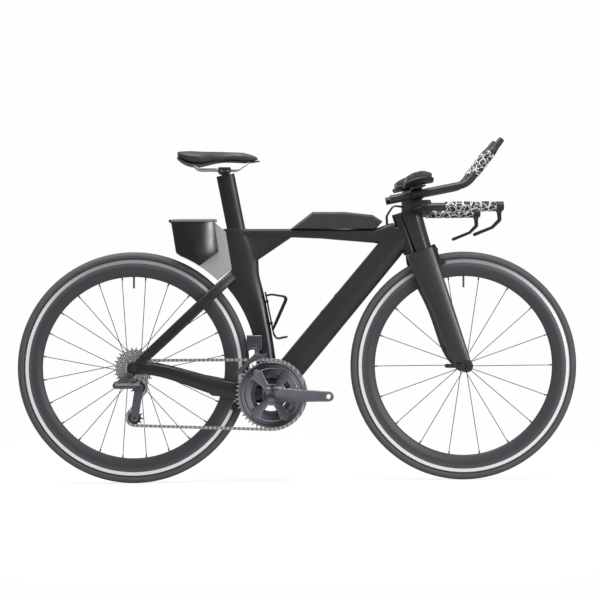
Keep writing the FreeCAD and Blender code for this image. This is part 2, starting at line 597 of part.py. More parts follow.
def make_rear_spokes():
    """Crossed spokes: each flange has leading and trailing ones on its two faces."""
    count = int(S.rear_spoke_count.value)
    spokes = []
    for index in range(count):
        angle = S.rear_spoke_start + 360.0 * index / count
        side = 1 if index % 2 else -1
        lead = 1 if (index // 2) % 2 else -1
        flange = S.rear_left_flange if side > 0 else -S.rear_right_flange
        spokes.append(spoke(REAR_X, angle, angle + S.spoke_cross_angle * lead,
                            S.rear_flange_radius - S.spoke_sink, flange + S.spoke_step * lead,
                            S.rim_hole_offset * side))
    name_part(feature("rear_spokes", Part.Compound(spokes)), "rear_spokes")


def make_skewer(label, x, half_width, left_grip, right_grip):
    """Axle with its quick release skewer: shoulders inside the dropouts and nuts outside."""
    skewer = turned(label, [
        (0.0, -half_width - right_grip - S.skewer_nut_length),
        (S.skewer_nut_radius, -half_width - right_grip - S.skewer_nut_length),
        (S.skewer_nut_radius, -half_width - right_grip),
        (S.axle_end_radius, -half_width - right_grip),
        (S.axle_end_radius, -half_width),
        (S.axle_radius, -half_width),
        (S.axle_radius, half_width),
        (S.axle_end_radius, half_width),
        (S.axle_end_radius, half_width + left_grip),
        (S.skewer_nut_radius, half_width + left_grip),
        (S.skewer_nut_radius, half_width + left_grip + S.skewer_nut_length),
        (0.0, half_width + left_grip + S.skewer_nut_length),
    ], x, 0.0, AXLE_Z)
    name_part(skewer, label)


def make_skewer_lever(label, x, side, face, heading):
    """Cam lever that swings about an upright pivot beside the skewer's end."""
    pivot_y = (face + S.clearance + S.lever_hub_radius) * side
    hub = cylinder(label + "_hub", S.lever_hub_radius, S.lever_hub_length, x, pivot_y,
                   AXLE_Z - S.lever_hub_length / 2, UPRIGHT)
    reach_x, reach_z = polar(S.skewer_lever_length, heading)
    half = float(S.skewer_lever_thickness) / 2
    grip = arm_shape((float(x), float(AXLE_Z)), S.skewer_lever_end * S.skewer_root_share,
                     (float(x) + reach_x, float(AXLE_Z) + reach_z), S.skewer_lever_end,
                     float(pivot_y) - half, float(pivot_y) + half)
    name_part(fuse(label, [hub, feature(label + "_grip", grip)]), label)


def toothed_face(teeth, y, turn):
    """Face of a chain wheel: flat roots for the rollers and narrow tips."""
    pitch_radius = float(S.pitch) / (2 * math.sin(math.pi / teeth))
    points = []
    for index in range(teeth):
        middle = turn + 2 * math.pi * index / teeth
        out = Vector(math.cos(middle), 0, math.sin(middle))
        side = Vector(-math.sin(middle), 0, math.cos(middle))
        for sign in (-1, 1):
            root = out * (pitch_radius - float(S.tooth_root)) + side * (sign * float(S.tooth_root_half))
            points.append(root)
        tip_middle = middle + math.pi / teeth
        out = Vector(math.cos(tip_middle), 0, math.sin(tip_middle))
        side = Vector(-math.sin(tip_middle), 0, math.cos(tip_middle))
        for sign in (-1, 1):
            tip = out * (pitch_radius + float(S.tooth_height)) + side * (sign * float(S.tooth_tip_half))
            points.append(tip)
    points = [point + Vector(0, float(y), 0) for point in points]
    return Part.Face(Part.makePolygon(points + points[:1]))


def toothed_disc(teeth, bore, middle_y, thickness, turn):
    """Chain wheel about the Y axis, bored at its centre."""
    low = float(middle_y) - float(thickness) / 2
    disc = toothed_face(teeth, low, turn).extrude(Vector(0, float(thickness), 0))
    hole = Part.makeCylinder(float(bore), float(thickness) * 3, Vector(0, low - float(thickness), 0),
                             Vector(0, 1, 0))
    return disc.cut(hole)


def pitch_radius(teeth):
    """Radius of the circle that the rollers lie on."""
    return float(S.pitch) / (2 * math.sin(math.pi / teeth))


def tangent(first, second):
    """Heading of the chain from one wheel to the next; a wheel is (x, z, radius, sense)."""
    gap_x = second[0] - first[0]
    gap_z = second[1] - first[1]
    offset = (first[3] * first[2] - second[3] * second[2]) / math.hypot(gap_x, gap_z)
    return math.atan2(gap_z, gap_x) - math.asin(offset)


def chain_wheels(cage_angle):
    """Wheels in the order that the chain meets them: cog, ring, tension pulley, guide pulley."""
    guide_x = float(REAR_X + S.guide_ahead)
    guide_z = float(AXLE_Z - S.guide_below)
    pulley = int(S.pulley_teeth.value)
    tension_x = guide_x + float(S.cage_length) * math.cos(cage_angle)
    tension_z = guide_z + float(S.cage_length) * math.sin(cage_angle)
    return [
        (float(REAR_X), float(AXLE_Z), pitch_radius(COG_TEETH[0]), 1, COG_TEETH[0]),
        (float(BRACKET_X), float(BRACKET_Z), pitch_radius(int(S.outer_teeth.value)), 1,
         int(S.outer_teeth.value)),
        (tension_x, tension_z, pitch_radius(pulley), 1, pulley),
        (guide_x, guide_z, pitch_radius(pulley), -1, pulley),
    ]


def chain_pieces(cage_angle):
    """Arcs and straight runs of the chain: (kind, wheel or ends, length in links' measure)."""
    wheels = chain_wheels(cage_angle)
    headings = [tangent(wheels[index], wheels[(index + 1) % 4]) for index in range(4)]
    pieces = []
    for index, (x, z, radius, sense, teeth) in enumerate(wheels):
        begin = headings[index - 1] + sense * math.pi / 2
        sweep = (sense * (headings[index - 1] - headings[index])) % (2 * math.pi)
        pieces.append(("arc", index, begin, sweep, sweep * teeth * float(S.pitch) / (2 * math.pi)))
        following = wheels[(index + 1) % 4]
        normal = headings[index] + math.pi / 2
        start = (x + sense * radius * math.cos(normal), z + sense * radius * math.sin(normal))
        end = (following[0] + following[3] * following[2] * math.cos(normal),
               following[1] + following[3] * following[2] * math.sin(normal))
        pieces.append(("run", index, start, end, math.hypot(end[0] - start[0], end[1] - start[1])))
    return wheels, pieces


def chain_length(cage_angle):
    """Length of the loop at one angle of the derailleur cage."""
    return sum(piece[4] for piece in chain_pieces(cage_angle)[1])


def solve_cage_angle():
    """Find the cage angle at which the loop holds the chain's own number of links."""
    target = float(S.chain_links) * float(S.pitch)
    back, ahead = math.radians(-150), math.radians(-30)
    for step in range(60):
        middle = (back + ahead) / 2
        if chain_length(middle) > target:
            back = middle
        else:
            ahead = middle
    return (back + ahead) / 2


CAGE_ANGLE = solve_cage_angle()
WHEELS, PIECES = chain_pieces(CAGE_ANGLE)
GUIDE = WHEELS[3][:2]
TENSION = WHEELS[2][:2]


def chain_points():
    """Pin centres, one pitch apart, starting where the chain meets the ring."""
    order = PIECES[2:] + PIECES[:2]
    lane = {0: -float(S.cog_offset), 1: -float(S.outer_ring_offset), 2: -float(S.cog_offset),
            3: -float(S.cog_offset)}
    points = []
    turns = {}
    travelled = 0.0
    wanted = 0.0
    for kind, index, first, second, length in order:
        while wanted < travelled + length - 1e-6 and len(points) < int(S.chain_links.value):
            share = (wanted - travelled) / length
            if kind == "arc":
                x, z, radius, sense = WHEELS[index][:4]
                angle = first - sense * second * share
                points.append(vec(x + radius * math.cos(angle), lane[index], z + radius * math.sin(angle)))
                turns.setdefault(index, angle)
            else:
                following = (index + 1) % 4
                level = float(S.chain_straight)
                aside = min(max((share - level) / (1 - level * 2), 0.0), 1.0)
                y = lane[index] + (lane[following] - lane[index]) * aside
                points.append(vec(first[0] + (second[0] - first[0]) * share, y,
                                  first[1] + (second[1] - first[1]) * share))
            wanted += float(S.pitch)
        travelled += length
    return points, turns


CHAIN_POINTS, WHEEL_TURNS = chain_points()


def make_chain():
    """Links along the route: inner plates hold the rollers and outer plates span them."""
    half = float(S.pitch) / 2
    nose = half + float(S.chain_nose)
    shoulder = half + float(S.chain_shoulder)
    waist = float(S.chain_waist)
    corners = [(-nose, 0), (-shoulder, waist), (shoulder, waist), (nose, 0), (shoulder, -waist),
               (-shoulder, -waist)]
    thickness = float(S.chain_plate)
    inner_gap = float(S.chain_gap) / 2
    solids = []
    for index, start in enumerate(CHAIN_POINTS):
        end = CHAIN_POINTS[(index + 1) % len(CHAIN_POINTS)]
        along = (end - start).normalize()
        up = along.cross(Vector(0, 1, 0)).normalize()
        across = up.cross(along)
        middle = (start + end) * 0.5
        offset = inner_gap if index % 2 else inner_gap + thickness + float(S.fit)
        for side in (-1, 1):
            low = offset if side > 0 else -offset - thickness
            ring_points = [middle + along * x + up * z + across * low for x, z in corners]
            outline = Part.Face(Part.makePolygon(ring_points + ring_points[:1]))
            solids.append(outline.extrude(across * thickness))
        if index % 2:
            for pin in (start, end):
                solids.append(roller(pin, across, inner_gap))
    name_part(feature("chain", Part.Compound(solids)), "chain")


def roller(pin, across, half_width):
    """Six-sided stand-in for a chain roller."""
    side = across.cross(Vector(0, 0, 1)).normalize()
    up = side.cross(across)
    points = []
    for index in range(6):
        angle = math.pi * index / 3
        points.append(pin - across * half_width + side * (float(S.roller_radius) * math.cos(angle))
                      + up * (float(S.roller_radius) * math.sin(angle)))
    return Part.Face(Part.makePolygon(points + points[:1])).extrude(across * (half_width * 2))


def make_cassette():
    """Freehub body, eleven cogs and the lockring, turning together on the rear axle."""
    solids = []
    outer_end = -float(S.cog_offset + S.cog_thickness / 2)
    inner_end = -float(S.freehub_face)
    body = Part.makeCylinder(float(S.freehub_radius), inner_end - outer_end, Vector(0, outer_end, 0),
                             Vector(0, 1, 0))
    bore = Part.makeCylinder(float(S.axle_radius + S.fit), float(S.rear_width),
                             Vector(0, -float(S.rear_width) / 2, 0), Vector(0, 1, 0))
    solids.append(body.cut(bore))
    for index, teeth in enumerate(COG_TEETH):
        turn = WHEEL_TURNS[0] if index == 0 else 0.0
        middle = -float(S.cog_offset) + index * float(S.cog_spacing)
        solids.append(toothed_disc(teeth, S.freehub_radius, middle, S.cog_thickness, turn))
    lockring = Part.makeCylinder(float(S.lockring_radius), float(S.lockring_thickness),
                                 Vector(0, outer_end, 0), Vector(0, -1, 0))
    solids.append(lockring.cut(bore))
    item = feature("cassette", Part.Compound(solids))
    name_part(place(item, REAR_X, 0.0, AXLE_Z), "cassette")


def make_rings():
    """Outer ring with its raised cover, and inner ring with its four bolts."""
    outer = toothed_disc(int(S.outer_teeth.value), S.outer_ring_bore, -float(S.outer_ring_offset),
                         S.tooth_thickness, WHEEL_TURNS[1])
    face = -float(S.outer_ring_offset + S.tooth_thickness / 2)
    cover = Part.makeCylinder(float(S.ring_cover_outer), float(S.ring_cover_depth), Vector(0, face, 0),
                              Vector(0, -1, 0))
    cover = cover.makeChamfer(float(S.ring_cover_chamfer), [cover.Edges[2]] if
                              cover.Edges[2].CenterOfMass.y < face - float(S.fit) else [cover.Edges[0]])
    hollow = Part.makeCylinder(float(S.outer_ring_bore), float(S.ring_cover_depth) * 2,
                               Vector(0, face + float(S.fit), 0), Vector(0, -1, 0))
    outer = outer.fuse(cover.cut(hollow)).removeSplitter()
    name_part(place(feature("chainring_outer", outer), BRACKET_X, 0.0, BRACKET_Z), "chainring_outer")
    middle = -float(S.outer_ring_offset - S.ring_spacing)
    inner = toothed_disc(int(S.inner_teeth.value), S.inner_ring_bore, middle, S.tooth_thickness, 0.0)
    bolt_end = face
    for angle in spider_angles():
        x, z = polar(S.bolt_circle_radius, angle)
        bolt = Part.makeCylinder(float(S.ring_bolt_radius), middle - bolt_end, Vector(x, bolt_end, z),
                                 Vector(0, 1, 0))
        inner = inner.fuse(bolt)
    name_part(place(feature("chainring_inner", inner), BRACKET_X, 0.0, BRACKET_Z), "chainring_inner")


def spider_angles():
    """Angles of the four spider arms, in pairs about the crank."""
    crank = float(S.crank_angle)
    return [crank + sign * float(angle) for angle in (S.spider_front_angle, S.spider_rear_angle)
            for sign in (1, -1)]


def make_right_crank():
    """Right arm with spider, spindle and an open pedal thread."""
    outer = -float(S.crank_inner_face + S.crank_thickness)
    inner = -float(S.crank_inner_face)
    back = -float(S.outer_ring_offset + S.tooth_thickness / 2)
    eye = polar(S.crank_length, S.crank_angle)
    arm = arm_shape((0, 0), S.crank_hub_radius, eye, S.crank_eye_radius, outer, inner)
    hub = Part.makeCylinder(float(S.crank_hub_radius), back - inner, Vector(0, inner, 0), Vector(0, 1, 0))
    solid = arm.fuse(hub)
    cover_face = back - float(S.ring_cover_depth)
    for angle in spider_angles():
        end = polar(S.bolt_circle_radius, angle)
        root = polar(S.outer_ring_bore - S.spider_end_radius, angle)
        solid = solid.fuse(arm_shape((0, 0), S.spider_root_radius, root, S.spider_end_radius - S.clearance,
                                     inner, back))
        tip = polar(S.bolt_circle_radius + S.spider_end_radius * 2, angle)
        solid = solid.fuse(arm_shape(end, S.spider_end_radius, tip, S.spider_end_radius * S.spider_tip_share,
                                     inner, cover_face))
    spindle = Part.makeCylinder(float(S.spindle_radius), float(S.crank_inner_face) - back,
                                Vector(0, back, 0), Vector(0, 1, 0))
    pedal = Part.makeCylinder(float(S.pedal_hole_radius), float(S.crank_thickness) * 3,
                              Vector(eye[0], outer - float(S.crank_thickness), eye[1]), Vector(0, 1, 0))
    solid = solid.fuse(spindle).cut(pedal).removeSplitter()
    name_part(place(feature("crank_right", solid), BRACKET_X, 0.0, BRACKET_Z), "crank_right")


def make_left_crank():
    """Left arm, half a turn away, clamped on the spindle's end."""
    inner = float(S.crank_inner_face)
    outer = float(S.crank_inner_face + S.crank_thickness)
    eye = polar(S.crank_length, S.crank_angle + 180.0)
    arm = arm_shape((0, 0), S.crank_hub_radius, eye, S.crank_eye_radius, inner, outer)
    pedal = Part.makeCylinder(float(S.pedal_hole_radius), float(S.crank_thickness) * 3,
                              Vector(eye[0], inner - float(S.crank_thickness), eye[1]), Vector(0, 1, 0))
    name_part(place(feature("crank_left", arm.cut(pedal)), BRACKET_X, 0.0, BRACKET_Z), "crank_left")


def make_pulley(label, centre, wheel):
    """Toothed pulley with a hub, bored for its bolt."""
    teeth = toothed_disc(int(S.pulley_teeth.value), S.pulley_bore, 0.0, S.tooth_thickness, WHEEL_TURNS[wheel])
    hub = Part.makeCylinder(float(S.pulley_hub_radius), float(S.pulley_hub_half) * 2,
                            Vector(0, -float(S.pulley_hub_half), 0), Vector(0, 1, 0))
    bore = Part.makeCylinder(float(S.pulley_bore), float(S.pulley_hub_half) * 4,
                             Vector(0, -float(S.pulley_hub_half) * 2, 0), Vector(0, 1, 0))
    item = feature(label, teeth.fuse(hub).cut(bore))
    name_part(place(item, centre[0], -S.cog_offset, centre[1]), label)


def make_wheels_and_drive():
    """Build both wheels and everything that the chain turns."""
    for label, x in (("front", FRONT_X), ("rear", REAR_X)):
        make_tyre(label + "_tyre", x)
        make_rim(label + "_rim", x)
    front_end = S.front_width / 2 - S.hub_cap_gap
    make_hub("front_hub", FRONT_X, S.front_flange, S.front_flange, front_end, front_end,
             S.front_flange_radius, S.front_shell_radius)
    make_hub("rear_hub", REAR_X, S.rear_left_flange, S.rear_right_flange,
             S.rear_width / 2 - S.hub_cap_gap, S.freehub_face - S.clearance,
             S.rear_flange_radius, S.rear_shell_radius)
    make_front_spokes()
    make_rear_spokes()
    make_cassette()
    make_rings()
    make_right_crank()
    make_left_crank()
    make_chain()
    make_pulley("guide_pulley", GUIDE, 3)
    make_pulley("tension_pulley", TENSION, 2)


make_wheels_and_drive()


X_WAY = Vector(1, 0, 0)
Y_WAY = Vector(0, 1, 0)
Z_WAY = Vector(0, 0, 1)
TILT = math.radians(float(S.head_tilt))
STEER_BASE = vec(FRONT_X - S.fork_rake * math.cos(TILT), 0, AXLE_Z - S.fork_rake * math.sin(TILT))
STEER = Placement(STEER_BASE, Rotation(Y_WAY, -float(S.head_tilt)))
HEAD_TOP = S.head_low + S.head_length
BRACKET = vec(BRACKET_X, 0, BRACKET_Z)
REAR_AXLE = vec(REAR_X, 0, AXLE_Z)


def steered(ahead, side, along):
    """Point given in the steering line's own axes: ahead of it, to the left, up along it."""
    return STEER.multVec(vec(ahead, side, along))


def steer_box(ahead, width, low, high):
    """Box in the steering line's axes, from ahead[0] to ahead[1]."""
    box = Part.makeBox(float(ahead[1]) - float(ahead[0]), float(width), float(high) - float(low),
                       vec(ahead[0], -float(width) / 2, low))
    box.Placement = STEER
    return box


def steer_bar(radius, low, high):
    """Round bar on the steering line."""
    return round_bar(radius, steered(0, 0, low), steered(0, 0, high))


def post_point(ahead, up):
    """Point beside the seatpost's line, measured from where it leaves the frame."""
    tilt = math.radians(float(S.post_tilt))
    base = vec(BRACKET_X - S.seat_tube_top_back + S.post_ahead, 0, BRACKET_Z + S.seat_tube_top_rise)
    along = Vector(-math.sin(tilt), 0, math.cos(tilt))
    forward = Vector(math.cos(tilt), 0, math.sin(tilt))
    return base + along * float(up) + forward * float(ahead)


def post_section(up, grow):
    """Seatpost section at a height along the post, grown all round."""
    tilt = math.radians(float(S.post_tilt))
    forward = Vector(math.cos(tilt), 0, math.sin(tilt))
    half_depth = float(S.post_depth) / 2 + grow
    return smooth_wire(post_point(0, up), forward, Y_WAY, half_depth, half_depth,
                       float(S.post_half) + grow, float(S.post_tail_half) + grow)


def seat_tube_shape():
    """Seat tube: a deep aero section whose rear edge follows the wheel below the yoke."""
    wires = []
    for rise, back, ahead, half in eased(stations("seat_tube"), int(S.loft_steps.value)):
        z = float(BRACKET_Z) + rise
        rear = float(BRACKET_X) - back
        if rise < float(S.seat_tube_yoke_rise):
            rear = float(REAR_X) + math.sqrt(float(S.wheel_cut_radius) ** 2 - (z - float(AXLE_Z)) ** 2)
        front = float(BRACKET_X) - ahead
        reach = (front - rear) / 2
        wires.append(smooth_wire(vec(rear + reach, 0, z), X_WAY, Y_WAY, reach, reach, half,
                                 half * float(S.tail_share)))
    return loft(wires, True)


def top_tube_shape():
    """Top tube: flat and slim, deepening into the head."""
    wires = []
    top = float(BRACKET_Z + S.top_tube_rise)
    for ahead, below, tall, half in eased(stations("top_tube"), int(S.loft_steps.value)):
        centre = vec(BRACKET_X + ahead, 0, top - below)
        wires.append(oval_wire(centre, Z_WAY, Y_WAY, tall, half, S.tube_ease))
    return loft(wires, True)


DOWN_FOOT = BRACKET + vec(S.down_foot_ahead, 0, S.down_foot_rise)
DOWN_HEAD = steered(0, 0, S.head_low + S.down_head_rise)
DOWN_WAY = (DOWN_HEAD - DOWN_FOOT).normalize()
DOWN_FRONT = DOWN_WAY.cross(Y_WAY) * -1 if DOWN_WAY.cross(Y_WAY).x < 0 else DOWN_WAY.cross(Y_WAY)


def down_tube_shape():
    """Down tube: deep aero section from the bottom bracket to the head."""
    wires = []
    for centre, depth, half in ((DOWN_FOOT, S.down_foot_depth, S.down_foot_half),
                                (DOWN_HEAD, S.down_head_depth, S.down_head_half)):
        reach = float(depth) / 2
        wires.append(smooth_wire(centre, DOWN_FRONT, Y_WAY, reach, reach, half, half * S.tail_share))
    return loft(wires)


def boss_points():
    """Places of the two bottle bosses on the down tube's upper face."""
    length = (DOWN_HEAD - DOWN_FOOT).Length
    points = []
    for along in (S.boss_low, S.boss_low + S.boss_spacing):
        share = float(along) / length
        depth = float(S.down_foot_depth) + (float(S.down_head_depth) - float(S.down_foot_depth)) * share
        points.append(DOWN_FOOT + DOWN_WAY * float(along) - DOWN_FRONT * (depth / 2))
    return points


def gusset_shape():
    """Web that fills the corner between the seat tube and the top tube."""
    top = float(BRACKET_Z + S.top_tube_rise) - float(S.top_tube_gusset_below)
    low = float(BRACKET_Z + S.gusset_low_rise)
    half = float(S.gusset_half)
    points = [vec(BRACKET_X + S.gusset_ahead, -half, top - float(S.top_tube_gusset_tall * S.tail_share)),
              vec(BRACKET_X - S.gusset_back, -half, low),
              vec(BRACKET_X - S.seat_tube_top_ahead, -half, low),
              vec(BRACKET_X - S.seat_tube_top_ahead, -half, top),
              vec(BRACKET_X + S.gusset_ahead, -half, top)]
    return Part.Face(Part.makePolygon(points + points[:1])).extrude(Vector(0, half * 2, 0))


def make_main_frame():
    """Monocoque front half of the frame with its head, shell and seatpost sockets."""
    wide = float(S.shell_half) * 4
    head = steer_bar(S.head_radius, S.head_low, HEAD_TOP)
    shell = Part.makeCylinder(float(S.shell_radius), float(S.shell_half) * 2,
                              BRACKET - Y_WAY * float(S.shell_half), Y_WAY)
    tubes = down_tube_shape().fuse([seat_tube_shape(), top_tube_shape(), gusset_shape(), shell])
    front = steer_box((0, wide), wide, S.head_low - wide, HEAD_TOP + wide)
    above = steer_box((-S.head_rear, wide), wide, HEAD_TOP, HEAD_TOP + wide)
    below = steer_box((-S.crown_sweep, wide), wide, S.head_low - wide, S.head_low)
    solid = tubes.cut([front, above, below]).fuse(head)
    bores = [steer_bar(S.head_bore, S.head_low - 1, HEAD_TOP + 1),
             steer_bar(S.headset_radius, S.head_low - 1, S.head_low + S.headset_height),
             steer_bar(S.headset_radius, HEAD_TOP - S.headset_height, HEAD_TOP + 1),
             Part.makeCylinder(float(S.bearing_radius), wide, BRACKET - Y_WAY * (wide / 2), Y_WAY),
             loft([post_section(-S.post_socket_depth, float(S.fit)), post_section(S.post_sunk,
                                                                                  float(S.fit))])]
    for point in boss_points():
        boss = round_bar(S.boss_radius, point + DOWN_FRONT * float(S.boss_depth),
                         point - DOWN_FRONT * float(S.boss_height))
        solid = solid.fuse(boss)
        bores.append(round_bar(S.boss_thread_radius, point + DOWN_FRONT * float(S.boss_depth),
                               point - DOWN_FRONT * float(S.boss_height) * 2))
    solid = solid.cut(bores)
    name_part(feature("main_frame", solid), "main_frame")
    return solid


def stay_pair(wires_for_side, extra_for_side, frame_solid):
    """Two mirrored stays, trimmed to meet the main frame face to face."""
    solids = []
    for side in (-1, 1):
        solid = loft(wires_for_side(side))
        for extra in extra_for_side(side):
            solid = solid.fuse(extra)
        solid = solid.cut(frame_solid)
        solids.append(max(solid.Solids, key=lambda piece: piece.Volume))
    return solids


STAY_END_Y = S.rear_width / 2 + S.stay_inset
SEAT_STAY_YOKE = BRACKET + vec(-S.seat_stay_yoke_back, 0, S.seat_stay_yoke_rise)
SEAT_STAY_WAY = (REAR_AXLE - SEAT_STAY_YOKE).normalize()


def chain_stay_wires(side):
    """Sections of one chain stay, from the shell to the dropout."""
    places = (
        (vec(BRACKET_X - S.chain_stay_shell_back, S.chain_stay_shell_y * side, BRACKET_Z - S.fit),
         S.chain_stay_front_half, S.chain_stay_half_width),
        (vec(BRACKET_X - S.chain_stay_neck_back, S.chain_stay_neck_y * side,
             BRACKET_Z + S.chain_stay_neck_rise),
         S.chain_stay_front_half, S.chain_stay_half_width),
        (vec(BRACKET_X - S.chain_stay_mid_back, S.chain_stay_mid_y * side, BRACKET_Z + S.chain_stay_mid_rise),
         S.chain_stay_mid_half, S.chain_stay_half_width),
        (vec(REAR_X + S.chain_stay_end, STAY_END_Y * side, AXLE_Z - S.chain_stay_end_drop),
         S.chain_stay_end_half, S.stay_inset),
        (vec(REAR_X, STAY_END_Y * side, AXLE_Z), S.chain_stay_end_half, S.stay_inset),
    )
    return [oval_wire(place, Z_WAY, Y_WAY, tall, half, S.stay_ease) for place, tall, half in places]


def dropout(side):
    """Round dropout plate, bored for the axle's end."""
    low = float(S.rear_width) / 2 * side
    return Part.makeCylinder(float(S.dropout_radius), float(S.dropout_thickness),
                             REAR_AXLE + Y_WAY * low, Y_WAY * side)


REAR_ARM_HIGH = BRACKET_Z - S.rear_brake_drop
REAR_ARM_LOW = REAR_ARM_HIGH - S.brake_arm_thickness


def rear_stud(side):
    """Pivot stud of a rear brake arm, rooted in a chain stay."""
    start = vec(BRACKET_X - S.rear_brake_back, S.rear_brake_side * side, REAR_ARM_LOW)
    return round_bar(S.brake_stud, start, start + Z_WAY * float(S.brake_arm_thickness + S.rear_stud_rise))


def seat_stay_wires(side):
    """Sections of one seat stay, from the yoke behind the seat tube to the dropout."""
    across = SEAT_STAY_WAY.cross(Y_WAY)
    top = BRACKET + vec(-S.seat_stay_top_back, S.seat_stay_top_y * side, S.seat_stay_top_rise)
    yoke = SEAT_STAY_YOKE + Y_WAY * float(S.seat_stay_yoke_y * side)
    end = REAR_AXLE - SEAT_STAY_WAY * float(S.seat_stay_end) + Y_WAY * float(STAY_END_Y * side)
    middle = (SEAT_STAY_YOKE + REAR_AXLE - SEAT_STAY_WAY * float(S.seat_stay_end)) * 0.5
    middle = middle + Y_WAY * float(S.seat_stay_mid_y * side)
    axle = REAR_AXLE + Y_WAY * float(STAY_END_Y * side)
    deep, slim = S.seat_stay_half, S.seat_stay_half_width
    places = ((top, deep, slim), (yoke, deep, slim), (middle, deep, slim),
              (end, deep - S.stay_taper, S.stay_inset), (axle, deep - S.stay_taper * 2, S.stay_inset))
    return [oval_wire(place, across, Y_WAY, tall, half, S.stay_ease) for place, tall, half in places]


def make_rear_triangle(frame_solid):
    """Chain stays with dropouts, and seat stays that end on them."""
    reach = float(S.rear_width)
    axle_hole = Part.makeCylinder(float(S.axle_end_radius + S.fit), reach * 2, REAR_AXLE - Y_WAY * reach,
                                  Y_WAY)
    hub_room = Part.makeCylinder(float(S.dropout_radius) * 4, float(S.rear_width), REAR_AXLE
                                 - Y_WAY * (float(S.rear_width) / 2), Y_WAY)
    chain_stays = stay_pair(chain_stay_wires, lambda side: [dropout(side), rear_stud(side)], frame_solid)
    face = float(S.rear_width / 2 + S.dropout_thickness)
    trim = [axle_hole, hub_room] + [Part.makeCylinder(float(S.dropout_radius) * 4, reach,
                                                      REAR_AXLE + Y_WAY * (face * side), Y_WAY * side)
                                    for side in (-1, 1)]
    chain_stays = [solid.cut(trim) for solid in chain_stays]
    seat_stays = stay_pair(seat_stay_wires, lambda side: [], frame_solid)
    seat_stays = [max(solid.cut(trim + chain_stays).Solids, key=lambda piece: piece.Volume)
                  for solid in seat_stays]
    name_part(feature("chain_stays", Part.Compound(chain_stays)), "chain_stays")
    name_part(feature("seat_stays", Part.Compound(seat_stays)), "seat_stays")


def make_bearings():
    """Bottom bracket and headset bearings as plain rings in their seats."""
    rings = []
    for side in (-1, 1):
        start = BRACKET + Y_WAY * (float(S.shell_half) * side)
        outer = Part.makeCylinder(float(S.bearing_radius), float(S.bearing_width), start, Y_WAY * -side)
        inner = Part.makeCylinder(float(S.spindle_radius + S.fit), float(S.bearing_width), start,
                                  Y_WAY * -side)
        rings.append(outer.cut(inner))
    for low in (S.head_low, HEAD_TOP - S.headset_height):
        outer = steer_bar(S.headset_radius, low, low + S.headset_height)
        rings.append(outer.cut(steer_bar(S.steerer_radius + S.fit, low, low + S.headset_height)))
    name_part(feature("frame_bearings", Part.Compound(rings)), "frame_bearings")


def make_hanger():
    """Replaceable hanger outside the right dropout."""
    face = -float(S.rear_width / 2 + S.dropout_thickness)
    eye = (float(REAR_X - S.hanger_back), float(AXLE_Z - S.hanger_drop))
    arm = arm_shape((float(REAR_X), float(AXLE_Z)), S.hanger_radius, eye, S.hanger_eye_radius,
                    face - float(S.hanger_thickness), face)
    axle = Part.makeCylinder(float(S.axle_end_radius + S.fit), float(S.rear_width), REAR_AXLE
                             - Y_WAY * float(S.rear_width), Y_WAY)
    bolt = Part.makeCylinder(float(S.hanger_bolt_radius), float(S.rear_width),
                             Vector(eye[0], -float(S.rear_width), eye[1]), Y_WAY)
    name_part(feature("derailleur_hanger", arm.cut([axle, bolt])), "derailleur_hanger")


def make_frame():
    """Build every fixed piece of the frame."""
    frame_solid = make_main_frame()
    make_rear_triangle(frame_solid)
    make_bearings()
    make_hanger()
    make_skewer("rear_skewer", REAR_X, S.rear_width / 2, S.dropout_thickness,
                S.dropout_thickness + S.hanger_thickness)
    make_skewer_lever("rear_skewer_lever", REAR_X, 1,
                      S.rear_width / 2 + S.dropout_thickness + S.skewer_nut_length, S.rear_skewer_angle)
    return frame_solid


FRAME_SOLID = make_frame()


def make_seatpost():
    """Aero seatpost with a cross bore head for the rail clamp."""
    post = loft([post_section(-S.post_sunk, 0.0), post_section(S.post_rise, 0.0)])
    head = post_point(0, S.post_rise)
    barrel = Part.makeCylinder(float(S.post_head_radius), float(S.post_head_half) * 2,
                               head - Y_WAY * float(S.post_head_half), Y_WAY)
    name_part(feature("seatpost", post.fuse(barrel)), "seatpost")


RAIL_MIDDLE = vec(post_point(0, S.rail_rise).x, 0, post_point(0, S.rail_rise).z)


def make_saddle_clamp():
    """Two rail clamps against the ends of the post's head, each with a pair of bolt heads."""
    solids = []
    length = float(S.clamp_length)
    height = float(S.clamp_height)
    for side in (-1, 1):
        centre = RAIL_MIDDLE + Y_WAY * float((S.post_head_half + S.clamp_half) * side)
        low = centre - vec(length / 2, float(S.clamp_half), height - float(S.rail_radius * 2))
        body = Part.makeBox(length, float(S.clamp_half) * 2, height, low)
        rail = centre + Y_WAY * float((S.rail_spacing - S.post_head_half - S.clamp_half) * side)
        body = body.cut(round_bar(S.rail_radius + S.fit, rail - X_WAY * length, rail + X_WAY * length))
        for step in (-1, 1):
            spot = centre + vec(S.clamp_bolt_spacing / 2 * step, S.clamp_half * side,
                                S.clamp_bolt_radius * -2)
            body = body.fuse(Part.makeCylinder(float(S.clamp_bolt_radius), float(S.clamp_bolt_radius) / 2,
                                               spot,
                                               Y_WAY * side))
        solids.append(body)
    name_part(feature("saddle_clamp", Part.Compound(solids)), "saddle_clamp")


